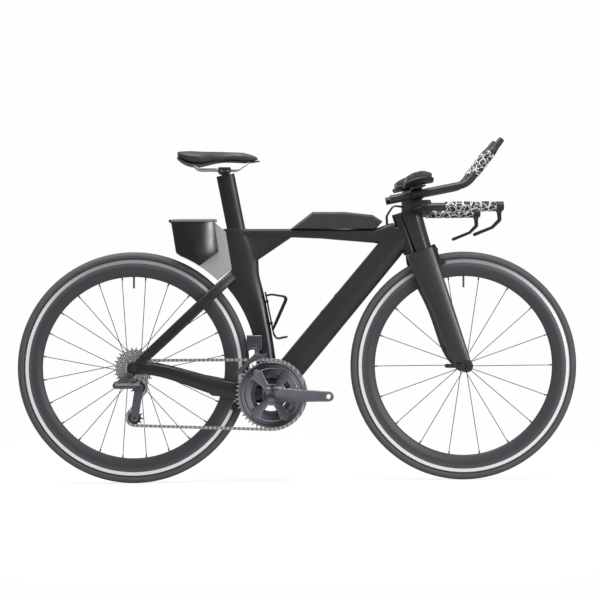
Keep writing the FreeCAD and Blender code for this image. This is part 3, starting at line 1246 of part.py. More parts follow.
def saddle_section(back, top, under, half, crown, drop):
    """Cross section of the saddle: crowned top, drawn-in flanks and a flat underside."""
    x = RAIL_MIDDLE.x - back
    low = RAIL_MIDDLE.z + under - drop
    high = RAIL_MIDDLE.z + top - drop
    edge = low + (high - low) * float(S.saddle_edge_share)
    peak = Vector(x, 0, high)
    foot_half = half * float(S.saddle_foot_share)
    edges = []
    for sign in (1, -1):
        shoulder = Vector(x, half * sign, edge)
        foot = Vector(x, foot_half * sign, low)
        curve = Part.BezierCurve()
        curve.setPoles([shoulder, shoulder + Vector(0, 0, (high - edge) * crown),
                        peak + Vector(0, half * float(S.saddle_peak_share) * sign, 0), peak])
        edges += [curve.toShape(), Part.makeLine(shoulder, foot)]
    edges.append(Part.makeLine(Vector(x, foot_half, low), Vector(x, -foot_half, low)))
    return Part.Wire(Part.__sortEdges__(edges))


def saddle_rail(side):
    """One rail: down from the tail, straight through the clamp, up to the nose."""
    level = RAIL_MIDDLE
    rear = level + vec(-S.saddle_heel_back + S.rail_rear_inset, S.rail_rear_y * side,
                       S.saddle_heel_under + S.rail_root)
    low_rear = level + vec(-S.saddle_wing_back + S.rail_wing_inset, S.rail_spacing * side, 0)
    low_front = level + vec(-S.saddle_neck_back * S.rail_front_share, S.rail_spacing * side, 0)
    nose = level + vec(-S.saddle_nose_back * S.rail_nose_share, S.rail_nose_y * side,
                       S.saddle_nose_under - S.rail_root)
    return tube([rear, low_rear, low_front, nose], S.rail_bend, S.rail_radius)


def make_saddle():
    """Padded cover on a thin base, carried by two rails."""
    wires = [saddle_section(back, top, under, half, float(S.saddle_crown), 0.0)
             for back, top, under, half in stations("saddle")]
    cover = loft(wires)
    depth = float(S.saddle_base_depth)
    low = [saddle_section(back, under + depth, under, half * float(S.saddle_base_share),
                          float(S.saddle_base_crown), depth + float(S.fit))
           for back, top, under, half in stations("saddle")]
    base = loft(low)
    rails = [saddle_rail(side) for side in (-1, 1)]
    base = base.cut(rails)
    cover = cover.cut(rails)
    name_part(feature("saddle_cover", cover), "saddle_cover")
    name_part(feature("saddle_base", max(base.Solids, key=lambda piece: piece.Volume)), "saddle_base")
    name_part(feature("saddle_rails", Part.Compound(rails)), "saddle_rails")


make_seatpost()
make_saddle_clamp()
make_saddle()


CROWN_SEAT = S.head_low - S.crown_gap
AHEAD_WAY = STEER.Rotation.multVec(X_WAY)
STEER_WAY = STEER.Rotation.multVec(Z_WAY)
FRONT_AXLE = vec(FRONT_X, 0, AXLE_Z)


def steer_section(along, rear, front, side, half, tail_share):
    """Aero section square to the steering line."""
    middle = (rear + front) / 2
    centre = steered(middle, side, along if along != 0.0 else CROWN_SEAT)
    return smooth_wire(centre, AHEAD_WAY, Y_WAY, front - middle, middle - rear, half, half * tail_share)


def brake_stud(side):
    """Pivot stud of a front brake arm."""
    start = steered(S.front_brake_ahead - S.brake_horn, S.brake_pivot_side * side, S.front_brake_along)
    return round_bar(S.brake_stud, start, start + AHEAD_WAY * float(S.brake_horn + S.brake_arm_thickness))


def make_fork():
    """Fork: two blades, crown, steerer, tips and the brake studs."""
    rear = float(S.blade_crown_rear)
    front = float(S.blade_crown_front)
    crown = loft([smooth_wire(steered(S.crown_ahead, 0, along), AHEAD_WAY, Y_WAY,
                              front - float(S.crown_ahead),
                              float(S.crown_ahead) - rear, S.crown_half, S.crown_tail_half)
                  for along in (CROWN_SEAT - S.crown_depth, CROWN_SEAT)])
    room = Part.makeCylinder(float(S.wheel_radius + S.tyre_room), float(S.tyre_room_half) * 2,
                             FRONT_AXLE - Y_WAY * float(S.tyre_room_half), Y_WAY)
    solid = crown.cut(room)
    half_width = float(S.front_width) / 2
    hub_room = Part.makeCylinder(float(S.fork_tip_radius) * 4, half_width * 2,
                                 FRONT_AXLE - Y_WAY * half_width, Y_WAY)
    for side in (-1, 1):
        blade = loft([steer_section(along, rear, front, middle * side, half, float(S.blade_tail_share))
                      for along, rear, front, middle, half in stations("blade")])
        tip = Part.makeCylinder(float(S.fork_tip_radius), float(S.dropout_thickness),
                                FRONT_AXLE + Y_WAY * (half_width * side), Y_WAY * side)
        solid = solid.fuse([blade, tip, brake_stud(side)])
    axle = Part.makeCylinder(float(S.axle_end_radius + S.fit), half_width * 4,
                             FRONT_AXLE - Y_WAY * half_width * 2,
                             Y_WAY)
    outside = Part.makeCylinder(float(S.fork_tip_radius), half_width,
                                FRONT_AXLE + Y_WAY * (half_width + float(S.dropout_thickness)), Y_WAY)
    inside = Part.makeCylinder(float(S.fork_tip_radius), half_width,
                               FRONT_AXLE - Y_WAY * (half_width + float(S.dropout_thickness)), Y_WAY * -1)
    solid = solid.cut([hub_room, axle, outside, inside])
    solid = solid.fuse(steer_bar(S.steerer_radius, CROWN_SEAT - S.crown_gap, S.steerer_top))
    name_part(feature("fork", solid), "fork")


def make_nose():
    """Nose cone that wraps the front of the head tube."""
    cone = loft([steer_section(along, rear, front, 0, half, float(S.nose_tail_share))
                 for along, rear, front, half in stations("nose")])
    room = steer_bar(S.head_radius + S.nose_gap, S.head_low - S.head_length, HEAD_TOP + S.head_length)
    name_part(feature("nose_cone", cone.cut(room)), "nose_cone")


COCKPIT = steered(0, 0, S.cockpit_along)


def cockpit(ahead, side, rise):
    """Point measured from the cockpit's base."""
    return COCKPIT + vec(ahead, side, rise)


def extension_points(side):
    """Route of one extension bar, to where its shifter pod starts."""
    return [cockpit(-S.extension_back, S.extension_side * side, S.extension_back_rise),
            cockpit(S.extension_knee_ahead, S.extension_side * side, S.extension_knee_rise),
            cockpit(S.extension_tip_ahead, S.extension_side * side, S.extension_tip_rise)]


def horn_points(side):
    """Route of one horn of the base bar."""
    return [cockpit(S.bar_ahead, S.bar_wing_end * S.horn_root_share * side, S.bar_rise),
            cockpit(S.bar_ahead, S.horn_side * side, S.bar_rise),
            cockpit(S.horn_end, S.horn_side * side, S.bar_rise + S.horn_rise)]


def base_bar_shape():
    """Base bar: a flat wing with two forward horns."""
    wires = []
    end = (S.bar_end_depth_share, S.bar_end_share)
    for side, depth, half in ((-S.bar_wing_end, *end), (-S.bar_wing_mid, 1, 1), (0, 1, S.bar_middle_share),
                              (S.bar_wing_mid, 1, 1), (S.bar_wing_end, *end)):
        reach = float(S.bar_wing_depth * depth / 2)
        wires.append(smooth_wire(cockpit(S.bar_ahead, side, S.bar_rise), X_WAY, Z_WAY, reach, reach,
                                 S.bar_wing_half * half, S.bar_wing_half * S.bar_tail_share))
    solid = loft(wires)
    for side in (-1, 1):
        solid = solid.fuse(tube(horn_points(side), S.horn_bend, S.horn_radius))
    return solid


def extension_ring(side, radius, half):
    """Sleeve blank around an extension bar at its clamp."""
    start, knee = extension_points(side)[:2]
    way = (knee - start).normalize()
    middle = start + way * (float(S.clamp_ring_ahead + S.extension_back) / way.x)
    return round_bar(radius, middle - way * float(half), middle + way * float(half))


PAD_FRAME = Placement(cockpit(S.pad_ahead, 0, S.pad_rise), Rotation(Y_WAY, -float(S.pad_tilt)))


def pad_shelf(side):
    """Shelf that carries one arm pad beside its extension."""
    low = float(S.extension_side) if side > 0 else -float(S.pad_shelf_out)
    shelf = Part.makeBox(float(S.pad_shelf_half) * 2, float(S.pad_shelf_out - S.extension_side),
                         float(S.pad_shelf), vec(-S.pad_shelf_half, low, -S.pad_shelf))
    shelf.Placement = PAD_FRAME
    return shelf


def make_stem(bar):
    """Stem block on the steerer, riser plate, extension clamps and pad shelves."""
    body = Part.makeBox(float(S.stem_front - S.stem_rear), float(S.stem_half) * 2,
                        float(S.stem_high - S.stem_low),
                        cockpit(S.stem_rear, -S.stem_half, S.stem_low))
    upright = [edge for edge in body.Edges if abs(edge.tangentAt(edge.FirstParameter).z) > 0.9]
    body = body.makeFillet(float(S.stem_round), upright)
    spacer = steer_bar(S.spacer_radius, HEAD_TOP + S.crown_gap, S.spacer_top + S.stem_low)
    plate_low = float(S.stem_high)
    bridge = Part.makeBox(float(S.clamp_ring_half) * 2, float(S.extension_side) * 2, float(S.riser_plate),
                          cockpit(S.clamp_ring_ahead - S.clamp_ring_half, -S.extension_side, plate_low))
    solid = body.fuse([spacer, bridge])
    bores = [bar, steer_bar(S.steerer_radius, S.head_low, S.steerer_top)]
    for side in (-1, 1):
        solid = solid.fuse([extension_ring(side, S.clamp_ring_radius, S.clamp_ring_half), pad_shelf(side)])
        bores.append(extension_ring(side, S.extension_radius, S.clamp_ring_half * 3))
    name_part(feature("stem_riser", solid.cut(bores)), "stem_riser")


def lever_pivot(side):
    """Pivot of one brake lever."""
    return cockpit(S.lever_pivot_ahead, S.horn_side * side, S.bar_rise - S.lever_pivot_drop)


def lever_shape(side):
    """Brake lever: hub, knee and a blade that sweeps back to a round tip."""
    pivot = lever_pivot(side)
    low, high = pivot.y - float(S.lever_half), pivot.y + float(S.lever_half)
    stops = [(pivot.x, pivot.z, float(S.lever_hub)),
             (pivot.x + float(S.lever_knee_ahead), pivot.z - float(S.lever_knee_drop),
              float(S.lever_waist * S.lever_knee_share)),
             (pivot.x - float(S.lever_heel_back), pivot.z - float(S.lever_heel_drop), float(S.lever_waist)),
             (pivot.x - float(S.lever_tip_back), pivot.z - float(S.lever_tip_drop),
              float(S.lever_waist * S.lever_tip_share))]
    pieces = [arm_shape(first[:2], first[2], second[:2], second[2], low, high)
              for first, second in zip(stops, stops[1:])]
    solid = pieces[0].fuse(pieces[1:])
    pin = Part.makeCylinder(float(S.lever_pin + S.fit), float(S.lever_half) * 4,
                            pivot - Y_WAY * (float(S.lever_half) * 2), Y_WAY)
    return solid.cut(pin)


def control_shape(side):
    """Lever body at a horn's end: a plug, two ears and the lever's pin."""
    pivot = lever_pivot(side)
    start, end = horn_points(side)[1:]
    way = (end - start).normalize()
    tape_end = start + way * (float(S.tape_end - S.bar_ahead) / way.x)
    plug_end = start + way * (float(S.control_end - S.bar_ahead) / way.x)
    plug = round_bar(S.control_radius, tape_end, plug_end).cut(tube(horn_points(side), S.horn_bend,
                                                                    S.horn_radius))
    gap = float(S.lever_half + S.clearance)
    outer = gap + float(S.ear_thickness)
    top = (pivot.x + float(S.lever_knee_ahead), float(cockpit(0, 0, S.bar_rise).z))
    ears = arm_shape((pivot.x, pivot.z), S.lever_hub + S.ear_wall, top, S.lever_hub * S.ear_top_share,
                     pivot.y - outer, pivot.y + outer)
    slot = Part.makeBox(float(S.lever_hub) * 8, gap * 2, float(S.lever_hub) * 4,
                        Vector(pivot.x - float(S.lever_hub) * 4, pivot.y - gap,
                               pivot.z + float(S.lever_hub + S.clearance) - float(S.lever_hub) * 4))
    horn = tube(horn_points(side), S.horn_bend, S.horn_radius)
    pin = Part.makeCylinder(float(S.lever_pin), outer * 2, pivot - Y_WAY * outer, Y_WAY)
    return plug.fuse(ears.cut(horn)).cut(slot).fuse(pin)


def make_levers():
    """Brake levers at the horns."""
    name_part(feature("brake_lever_right", lever_shape(-1)), "brake_lever_right")
    name_part(feature("brake_lever_left", lever_shape(1)), "brake_lever_left")


def tape_sleeves():
    """Bar tape on both horns and on both extensions."""
    sleeves = []
    for side in (-1, 1):
        start, end = horn_points(side)[1:]
        way = (end - start).normalize()
        first = start + way * (float(S.tape_start - S.bar_ahead) / way.x)
        last = start + way * (float(S.tape_end - S.bar_ahead) / way.x)
        sleeves.append(round_bar(S.tape_radius, first, last).cut(round_bar(S.horn_radius, first, last)))
        knee, tip = extension_points(side)[1:]
        way = (tip - knee).normalize()
        first = tip - way * float(S.extension_tape)
        sleeves.append(round_bar(S.extension_tape_radius, first, tip).cut(round_bar(S.extension_radius,
                                                                                    first, tip)))
    return sleeves


def pod_rotation():
    """Turn the local Z axis along the raised end of an extension."""
    knee, tip = extension_points(1)[1:]
    return Rotation(Z_WAY, tip - knee)


def make_controls():
    """Lever bodies on the horns, and shifter pods on the extensions with a push button in each end."""
    bodies = [feature("lever_bodies", Part.Compound([control_shape(-1), control_shape(1)]))]
    for side, name in ((-1, "right"), (1, "left")):
        tip = extension_points(side)[2]
        bore = S.button_radius + S.clearance
        floor = S.pod_length - S.button_sunk - S.button_travel - S.clearance
        bodies.append(turned(f"shifter_pod_{name}", [
            (0.0, 0.0), (S.pod_radius, 0.0), (S.pod_radius, S.pod_collar), (S.pod_waist, S.pod_collar * 2),
            (S.pod_waist * S.pod_end_share, S.pod_length), (bore, S.pod_length), (bore, floor), (0.0, floor),
        ], tip.x, tip.y, tip.z, pod_rotation()))
        button = turned(f"shift_button_{name}", [
            (0.0, S.pod_length - S.button_sunk), (S.button_radius, S.pod_length - S.button_sunk),
            (S.button_radius, S.pod_length - S.button_sunk + S.button_length * S.button_step_share),
            (S.button_radius * S.button_top_share, S.pod_length - S.button_sunk + S.button_length),
            (0.0, S.pod_length - S.button_sunk + S.button_length),
        ], tip.x, tip.y, tip.z, pod_rotation())
        name_part(button, f"shift_button_{name}")
    name_part(group("control_bodies", bodies), "control_bodies")


def trough_section(x, side, outer, inner, sweep):
    """Section of an arm pad or its cup: part of a ring about a line above the pad."""
    centre = vec(x, S.pad_side * side, S.pad_cup_radius)
    half = math.radians(sweep)

    def spot(radius, angle):
        return PAD_FRAME.multVec(centre + Vector(0, radius * math.sin(angle), -radius * math.cos(angle)))

    edges = [Part.Arc(spot(outer, -half), spot(outer, 0), spot(outer, half)).toShape(),
             Part.makeLine(spot(outer, half), spot(inner, half)),
             Part.Arc(spot(inner, half), spot(inner, 0), spot(inner, -half)).toShape(),
             Part.makeLine(spot(inner, -half), spot(outer, -half))]
    return Part.Wire(edges)


def make_arm_pads():
    """Curved cups on the shelves, and cushioned pads that draw in at both ends."""
    cups, pads = [], []
    reach = float(S.pad_half_length)
    outer = float(S.pad_cup_radius - S.pad_spacer)
    seat = outer - float(S.pad_cup_wall)
    flat = reach * float(S.pad_flat_share)
    wide = float(S.pad_sweep)
    thick = float(S.pad_thickness)
    soft = float(S.cushion_share)
    for side in (-1, 1):
        narrow = wide * float(S.pad_end_share)
        cup = loft([trough_section(x, side, outer, seat, sweep)
                    for x, sweep in ((-reach, narrow), (-flat, wide), (flat, wide), (reach, narrow))])
        spacer = Part.makeCylinder(float(S.pad_spacer_radius), float(S.pad_spacer) * 2,
                                   vec(0, S.pad_side * side, 0), Z_WAY)
        spacer.Placement = PAD_FRAME.multiply(spacer.Placement)
        cups.append(cup.fuse(spacer))
        narrow = wide * float(S.cushion_end_share)
        thin = thick * float(S.cushion_end_depth)
        pads.append(loft([trough_section(x * soft, side, seat - float(S.clearance), seat - deep, sweep)
                          for x, sweep, deep in ((-reach, narrow, thin), (-flat, wide * soft, thick),
                                                 (flat, wide * soft, thick), (reach, narrow, thin))]))
    name_part(feature("pad_cups", Part.Compound(cups)), "pad_cups")
    name_part(feature("arm_pads", Part.Compound(pads)), "arm_pads")


def make_cockpit():
    """Everything above the fork that steers with it."""
    bar = base_bar_shape()
    name_part(feature("base_bar", bar), "base_bar")
    make_stem(bar)
    make_levers()
    bars = [tube(extension_points(side), S.extension_bend, S.extension_radius) for side in (-1, 1)]
    name_part(feature("extension_bars", Part.Compound(bars)), "extension_bars")
    name_part(feature("bar_tape", Part.Compound(tape_sleeves())), "bar_tape")
    make_controls()
    make_arm_pads()


def cross_arm(start, start_radius, end, end_radius, low, high):
    """Flat arm in the plane across the bike, between two X planes."""
    arm = arm_shape(start, start_radius, end, end_radius, -float(high), -float(low))
    arm.Placement = Placement(Vector(), Rotation(Y_WAY, X_WAY * -1, Z_WAY, "ZXY"))
    return arm


def level_arm(start, start_radius, end, end_radius, low, high):
    """Flat arm in a level plane, between two Z planes."""
    arm = arm_shape(start, start_radius, end, end_radius, -float(high), -float(low))
    arm.Placement = Placement(Vector(), Rotation(X_WAY, Z_WAY * -1, Y_WAY, "XZY"))
    return arm


def pad_start(side):
    """Low Y face of a brake pad on one side of the rim."""
    face = float(S.track_half + S.brake_gap)
    return face if side > 0 else -face - float(S.brake_pad_thickness)


def make_front_brake():
    """Two brake arms on the crown's studs, each with its pad beside the rim."""
    low = S.front_brake_ahead
    high = low + S.brake_arm_thickness
    pad_ahead = float(low + S.brake_arm_thickness / 2)
    pad_along = math.sqrt(float(S.brake_track_radius) ** 2 - (pad_ahead - float(S.fork_rake)) ** 2)
    for side, label in ((-1, "front_brake_right"), (1, "front_brake_left")):
        pivot = (S.brake_pivot_side * side, S.front_brake_along)
        horn = ((S.brake_pivot_side - S.brake_horn) * side, S.front_brake_along + S.brake_horn)
        arm = cross_arm(pivot, S.brake_stud * 2, (pivot[0], pad_along), S.brake_arm_half, low, high)
        arm = arm.fuse(cross_arm(pivot, S.brake_stud * 2, horn, S.brake_arm_half, low, high))
        stud = Part.makeCylinder(float(S.brake_stud + S.fit), float(S.front_brake_ahead),
                                 vec(low - S.brake_horn, pivot[0], pivot[1]), X_WAY)
        pad = Part.makeBox(float(S.brake_pad_length), float(S.brake_pad_thickness), float(S.brake_pad_height),
                           vec(pad_ahead - S.brake_pad_length / 2, pad_start(side),
                               pad_along - S.brake_pad_height / 2))
        item = feature(label, arm.cut(stud).fuse(pad))
        item.Placement = STEER
        name_part(item, label)


make_fork()
make_nose()
make_cockpit()
make_front_brake()
make_skewer("front_skewer", FRONT_X, S.front_width / 2, S.dropout_thickness, S.dropout_thickness)
make_skewer_lever("front_skewer_lever", FRONT_X, -1,
                  S.front_width / 2 + S.dropout_thickness + S.skewer_nut_length, S.front_skewer_angle)


def make_rear_brake():
    """Two brake arms below the chain stays, each with its pad beside the rim."""
    middle = float(REAR_ARM_LOW + S.brake_arm_thickness / 2)
    below = float(AXLE_Z) - middle
    reach = math.sqrt(float(S.brake_track_radius) ** 2 - below ** 2)
    lean = math.degrees(math.atan2(below, reach))
    for side, label in ((-1, "rear_brake_right"), (1, "rear_brake_left")):
        pivot = (BRACKET_X - S.rear_brake_back, S.rear_brake_side * side)
        foot = (float(REAR_X) + reach, S.rear_pad_side * side)
        arm = level_arm(pivot, S.brake_stud * 2, foot, S.brake_arm_half, REAR_ARM_LOW, REAR_ARM_HIGH)
        pad = Part.makeBox(float(S.brake_pad_height), float(S.brake_pad_thickness), float(S.rear_pad_length),
                           vec(-S.brake_pad_height / 2, pad_start(side), -S.rear_pad_length / 2))
        pad.Placement = Placement(Vector(foot[0], 0, middle), Rotation(Y_WAY, lean))
        hole = round_bar(S.brake_stud + S.fit, vec(pivot[0], pivot[1], REAR_ARM_LOW - S.brake_horn),
                         vec(pivot[0], pivot[1], REAR_ARM_HIGH + S.brake_horn))
        name_part(feature(label, arm.cut(hole).fuse(pad)), label)


FD_PIVOT = vec(BRACKET_X - S.fd_back - S.fd_width / 2, -S.fd_pivot_side, BRACKET_Z + S.fd_pivot_rise)


def make_front_derailleur():
    """Body on the right flank of the seat tube, with two ears and the cage's pin."""
    rear = BRACKET_X - S.fd_back - S.fd_width
    body = Part.makeBox(float(S.fd_width), float(S.fd_out - S.fd_inner), float(S.fd_high - S.fd_low),
                        vec(rear, -S.fd_out, BRACKET_Z + S.fd_low))
    upright = [edge for edge in body.Edges if edge.CenterOfMass.y < -float(S.fd_out) + float(S.fit)]
    body = body.makeFillet(float(S.fd_ear) / 2, upright)
    ear_length = (float(S.fd_width - S.fd_barrel_length)) / 2 - float(S.clearance)
    for start in (float(rear), float(rear + S.fd_width) - ear_length):
        body = body.fuse(cross_arm((FD_PIVOT.y, FD_PIVOT.z), S.fd_ear,
                                   (FD_PIVOT.y, FD_PIVOT.z + float(S.fd_ear) * 2), S.fd_ear * S.fd_ear_share,
                                   start, start + ear_length))
    tyre_room = Part.makeCylinder(float(S.wheel_cut_radius), float(S.tyre_room_half) * 2,
                                  REAR_AXLE - Y_WAY * float(S.tyre_room_half), Y_WAY)
    pin = Part.makeCylinder(float(S.fd_pin), float(S.fd_width), Vector(float(rear), FD_PIVOT.y,
                                                                       FD_PIVOT.z), X_WAY)
    solid = body.cut([FRAME_SOLID, tyre_room]).fuse(pin)
    name_part(feature("front_derailleur", max(solid.Solids, key=lambda piece: piece.Volume)),
              "front_derailleur")


def cage_plate(middle_y):
    """Side plate of the front cage: its lower edge follows the ring."""
    def spot(angle, radius=S.fd_cage_radius):
        x, z = polar(radius, angle)
        return vec(BRACKET_X + x, float(middle_y) - float(S.fd_plate) / 2, BRACKET_Z + z)

    first = math.degrees(math.acos(-float(S.fd_cage_front / S.fd_cage_radius)))
    last = 180 - math.degrees(math.atan2(float(S.fd_cage_tail_rise), float(S.fd_cage_back)))
    tail = spot(last, math.hypot(float(S.fd_cage_back), float(S.fd_cage_tail_rise)))
    top = BRACKET + vec(-S.fd_cage_front, tail.y, S.fd_cage_rise)
    shoulder = BRACKET + vec(FD_PIVOT.x - float(BRACKET_X), tail.y, S.fd_cage_rise)
    edges = [Part.Arc(spot(first), spot((first + last) / 2), spot(last)).toShape(),
             Part.makeLine(spot(last), tail), Part.makeLine(tail, shoulder), Part.makeLine(shoulder, top),
             Part.makeLine(top, spot(first))]
    return Part.Face(Part.Wire(edges)).extrude(Y_WAY * float(S.fd_plate))


def make_front_cage():
    """Cage of the front derailleur: two plates, a roof, and an arm on a barrel."""
    half = float(S.fd_barrel_length) / 2
    front = float(BRACKET_X - S.fd_cage_front)
    plate_half = S.fd_plate / 2
    roof = Part.makeBox(front - FD_PIVOT.x, float(S.fd_outer_side - S.fd_inner_side + S.fd_plate),
                        float(S.fd_roof),
                        vec(FD_PIVOT.x, -S.fd_outer_side - plate_half,
                            BRACKET_Z + S.fd_cage_rise - S.fd_roof))
    barrel = Part.makeCylinder(float(S.fd_barrel), half * 2, FD_PIVOT - X_WAY * half, X_WAY)
    arm = cross_arm((FD_PIVOT.y, FD_PIVOT.z), S.fd_barrel,
                    (-S.fd_inner_side, BRACKET_Z + S.fd_cage_rise - S.fd_roof / 2), S.fd_roof / 2,
                    FD_PIVOT.x, FD_PIVOT.x + half)
    bore = Part.makeCylinder(float(S.fd_pin + S.fit), half * 4, FD_PIVOT - X_WAY * (half * 2), X_WAY)
    plates = [cage_plate(-S.fd_outer_side), cage_plate(-S.fd_inner_side)]
    solid = roof.fuse([barrel, arm] + plates).cut(bore)
    name_part(feature("front_derailleur_cage", solid), "front_derailleur_cage")


RD_LEAN = math.radians(float(S.rd_axis_tilt))
RD_AXIS = Vector(0, math.sin(RD_LEAN), math.cos(RD_LEAN))
RD_HANGER = vec(REAR_X - S.hanger_back, 0, AXLE_Z - S.hanger_drop)
RD_UPPER = vec(REAR_X - S.rd_knob_back, -S.rd_side, AXLE_Z - S.rd_knob_drop)
RD_LOWER = RD_UPPER + X_WAY * float(S.rd_link_length)
RD_FRAME = Placement(RD_UPPER, Rotation(X_WAY, RD_AXIS, X_WAY.cross(RD_AXIS), "XYZ"))


def link_room():
    """Everything on the link's side of its upper face, where neither pivot body may reach."""
    wide = float(S.rd_link_length) * 4
    room = Part.makeBox(wide, wide, wide, vec(-wide / 2, float(S.rd_eye_half + S.rd_gap) - wide, -wide / 2))
    room.Placement = RD_FRAME
    return room


def link_pivot(point):
    """Eye above the link and its pin through the link."""
    low = point + RD_AXIS * float(S.rd_eye_half + S.rd_gap)
    eye = round_bar(S.rd_eye_radius, low, low + RD_AXIS * float(S.rd_base_height))
    pin = round_bar(S.rd_pin, point - RD_AXIS * float(S.rd_eye_half),
                    low + RD_AXIS * float(S.rd_base_height * S.rd_pin_share))
    return eye.fuse(pin)


def make_rd_bracket():
    """Upper body of the rear derailleur, bolted to the hanger."""
    inner = -float(S.rear_width / 2 + S.dropout_thickness + S.hanger_thickness)
    outer = inner - float(S.rd_bracket_thickness)
    arm = arm_shape((RD_HANGER.x, RD_HANGER.z), S.hanger_eye_radius, (RD_UPPER.x, RD_UPPER.z),
                    S.rd_knob_radius,
                    outer, inner)
    bolt = Part.makeCylinder(float(S.hanger_bolt_radius - S.fit), float(S.hanger_thickness),
                             RD_HANGER + Y_WAY * inner, Y_WAY)
    solid = arm.cut(link_room()).fuse([link_pivot(RD_UPPER), bolt])
    name_part(feature("rd_bracket", solid), "rd_bracket")


def make_rd_link():
    """Link of the rear derailleur, between two slanted pivots."""
    link = arm_shape((0, 0), S.rd_eye_radius, (S.rd_link_length, 0), S.rd_eye_radius, -S.rd_eye_half,
                     S.rd_eye_half)
    link.Placement = RD_FRAME
    for point in (RD_UPPER, RD_LOWER):
        reach = RD_AXIS * float(S.rd_eye_half) * 2
        link = link.cut(round_bar(S.rd_pin + S.fit, point - reach, point + reach))
    name_part(feature("rd_link", link), "rd_link")


CAGE_OUTER = -S.cog_offset - S.pulley_hub_half - S.clearance - S.rd_gap
CAGE_INNER = -S.cog_offset + S.pulley_hub_half + S.clearance + S.rd_gap
GUIDE_POINT = vec(GUIDE[0], 0, GUIDE[1])
TENSION_POINT = vec(TENSION[0], 0, TENSION[1])


def make_rd_knuckle():
    """Lower body of the rear derailleur, bored for the cage's stub."""
    inner = float(CAGE_OUTER - S.rd_cage_plate - S.clearance)
    outer = -float(S.rd_side - S.rd_eye_half)
    body = Part.makeCylinder(float(S.rd_knuckle_radius), inner - outer, GUIDE_POINT + Y_WAY * outer, Y_WAY)
    bore = Part.makeCylinder(float(S.rd_stub + S.fit), float(S.rd_bracket_thickness),
                             GUIDE_POINT + Y_WAY * inner, Y_WAY * -1)
    solid = body.cut([link_room(), bore]).fuse(link_pivot(RD_LOWER).cut(bore))
    name_part(feature("rd_knuckle", solid), "rd_knuckle")


def make_rd_cage():
    """Pulley cage: two plates, the bolts that carry the pulleys, and the stub it turns on."""
    ends = (GUIDE, TENSION)
    thickness = float(S.rd_cage_plate)
    outer = arm_shape(*[value for end in ends for value in (end, S.rd_cage_radius)],
                      float(CAGE_OUTER) - thickness, float(CAGE_OUTER))
    inner = arm_shape(*[value for end in ends for value in (end, S.rd_cage_radius)],
                      float(CAGE_INNER), float(CAGE_INNER) + thickness)
    pieces = [inner]
    for point in (GUIDE_POINT, TENSION_POINT):
        pieces.append(Part.makeCylinder(float(S.rd_bolt_radius),
                                        float(CAGE_INNER) - float(CAGE_OUTER) + thickness,
                                        point + Y_WAY * float(CAGE_OUTER), Y_WAY))
    pieces.append(Part.makeCylinder(float(S.rd_stub), float(S.rd_bracket_thickness) - float(S.rd_gap),
                                    GUIDE_POINT + Y_WAY * (float(CAGE_OUTER) - thickness / 2), Y_WAY * -1))
    name_part(feature("rd_cage", outer.fuse(pieces)), "rd_cage")


BOX_CORNER = vec(BRACKET_X - S.seat_tube_top_back, 0, BRACKET_Z + S.seat_tube_top_rise)


def box_point(back, rise):
    """Point measured back and up from the seat tube's rear top corner."""
    return BOX_CORNER + vec(-float(back), 0, rise)


def clear_point(x):
    """Point at an X place on the circle that keeps storage off the rear tyre."""
    return Vector(x, 0, float(AXLE_Z) + math.sqrt(float(S.box_clear_radius) ** 2 - (x - float(REAR_X)) ** 2))


def clear_arc(first, second):
    """Arc of that circle between two of its points."""
    return Part.Arc(first, clear_point((first.x + second.x) / 2), second).toShape()


def side_solid(edges, half):
    """Solid from a side outline, as wide on the left as on the right."""
    face = Part.Face(Part.Wire(edges))
    face.translate(Y_WAY * -float(half))
    return face.extrude(Y_WAY * (float(half) * 2))


def lines(points):
    """Straight edges through points."""
    return [Part.makeLine(first, second) for first, second in zip(points, points[1:])]


BOX_FRONT = [box_point(S.box_front_top, S.box_top_rise), box_point(S.box_front_mid, -S.box_front_drop),
             clear_point(BOX_CORNER.x - float(S.box_low_back))]
LID_HINGE = box_point(S.box_tail_back + S.lid_hinge_back, S.box_top_rise + S.lid_hinge_rise)


def lid_bar(radius, half):
    """Round bar on the lid's hinge line."""
    return Part.makeCylinder(float(radius), float(half) * 2, LID_HINGE - Y_WAY * float(half), Y_WAY)


def make_tail_box():
    """Hollow rear storage box with two hinge knuckles and their pin."""
    tail = clear_point(BOX_CORNER.x - float(S.box_end_back))
    rear = [tail, box_point(S.box_tail_low_back, -S.box_tail_drop), box_point(S.box_tail_back,
                                                                              S.box_top_rise),
            BOX_FRONT[0]]
    outline = lines(BOX_FRONT) + [clear_arc(BOX_FRONT[-1], tail)] + lines(rear)
    shell = side_solid(outline, S.box_half)
    inside = Part.Face(Part.Wire(outline)).makeOffset2D(-float(S.box_wall))
    inside.translate(Y_WAY * -float(S.box_half - S.box_wall))
    hollow = inside.extrude(Y_WAY * float(S.box_half - S.box_wall) * 2)
    hollow = hollow.fuse(hollow.translated(Z_WAY * float(S.box_wall) * 2))
    room = lid_bar(S.lid_knuckle + S.clearance, S.lid_knuckle_half + S.clearance)
    knuckles = lid_bar(S.lid_knuckle, S.box_half).cut(lid_bar(S.lid_knuckle * 2,
                                                              S.lid_knuckle_half + S.clearance))
    solid = shell.cut([hollow, room]).fuse([knuckles, lid_bar(S.lid_pin, S.box_half)])
    name_part(feature("tail_box_shell", solid), "tail_box_shell")


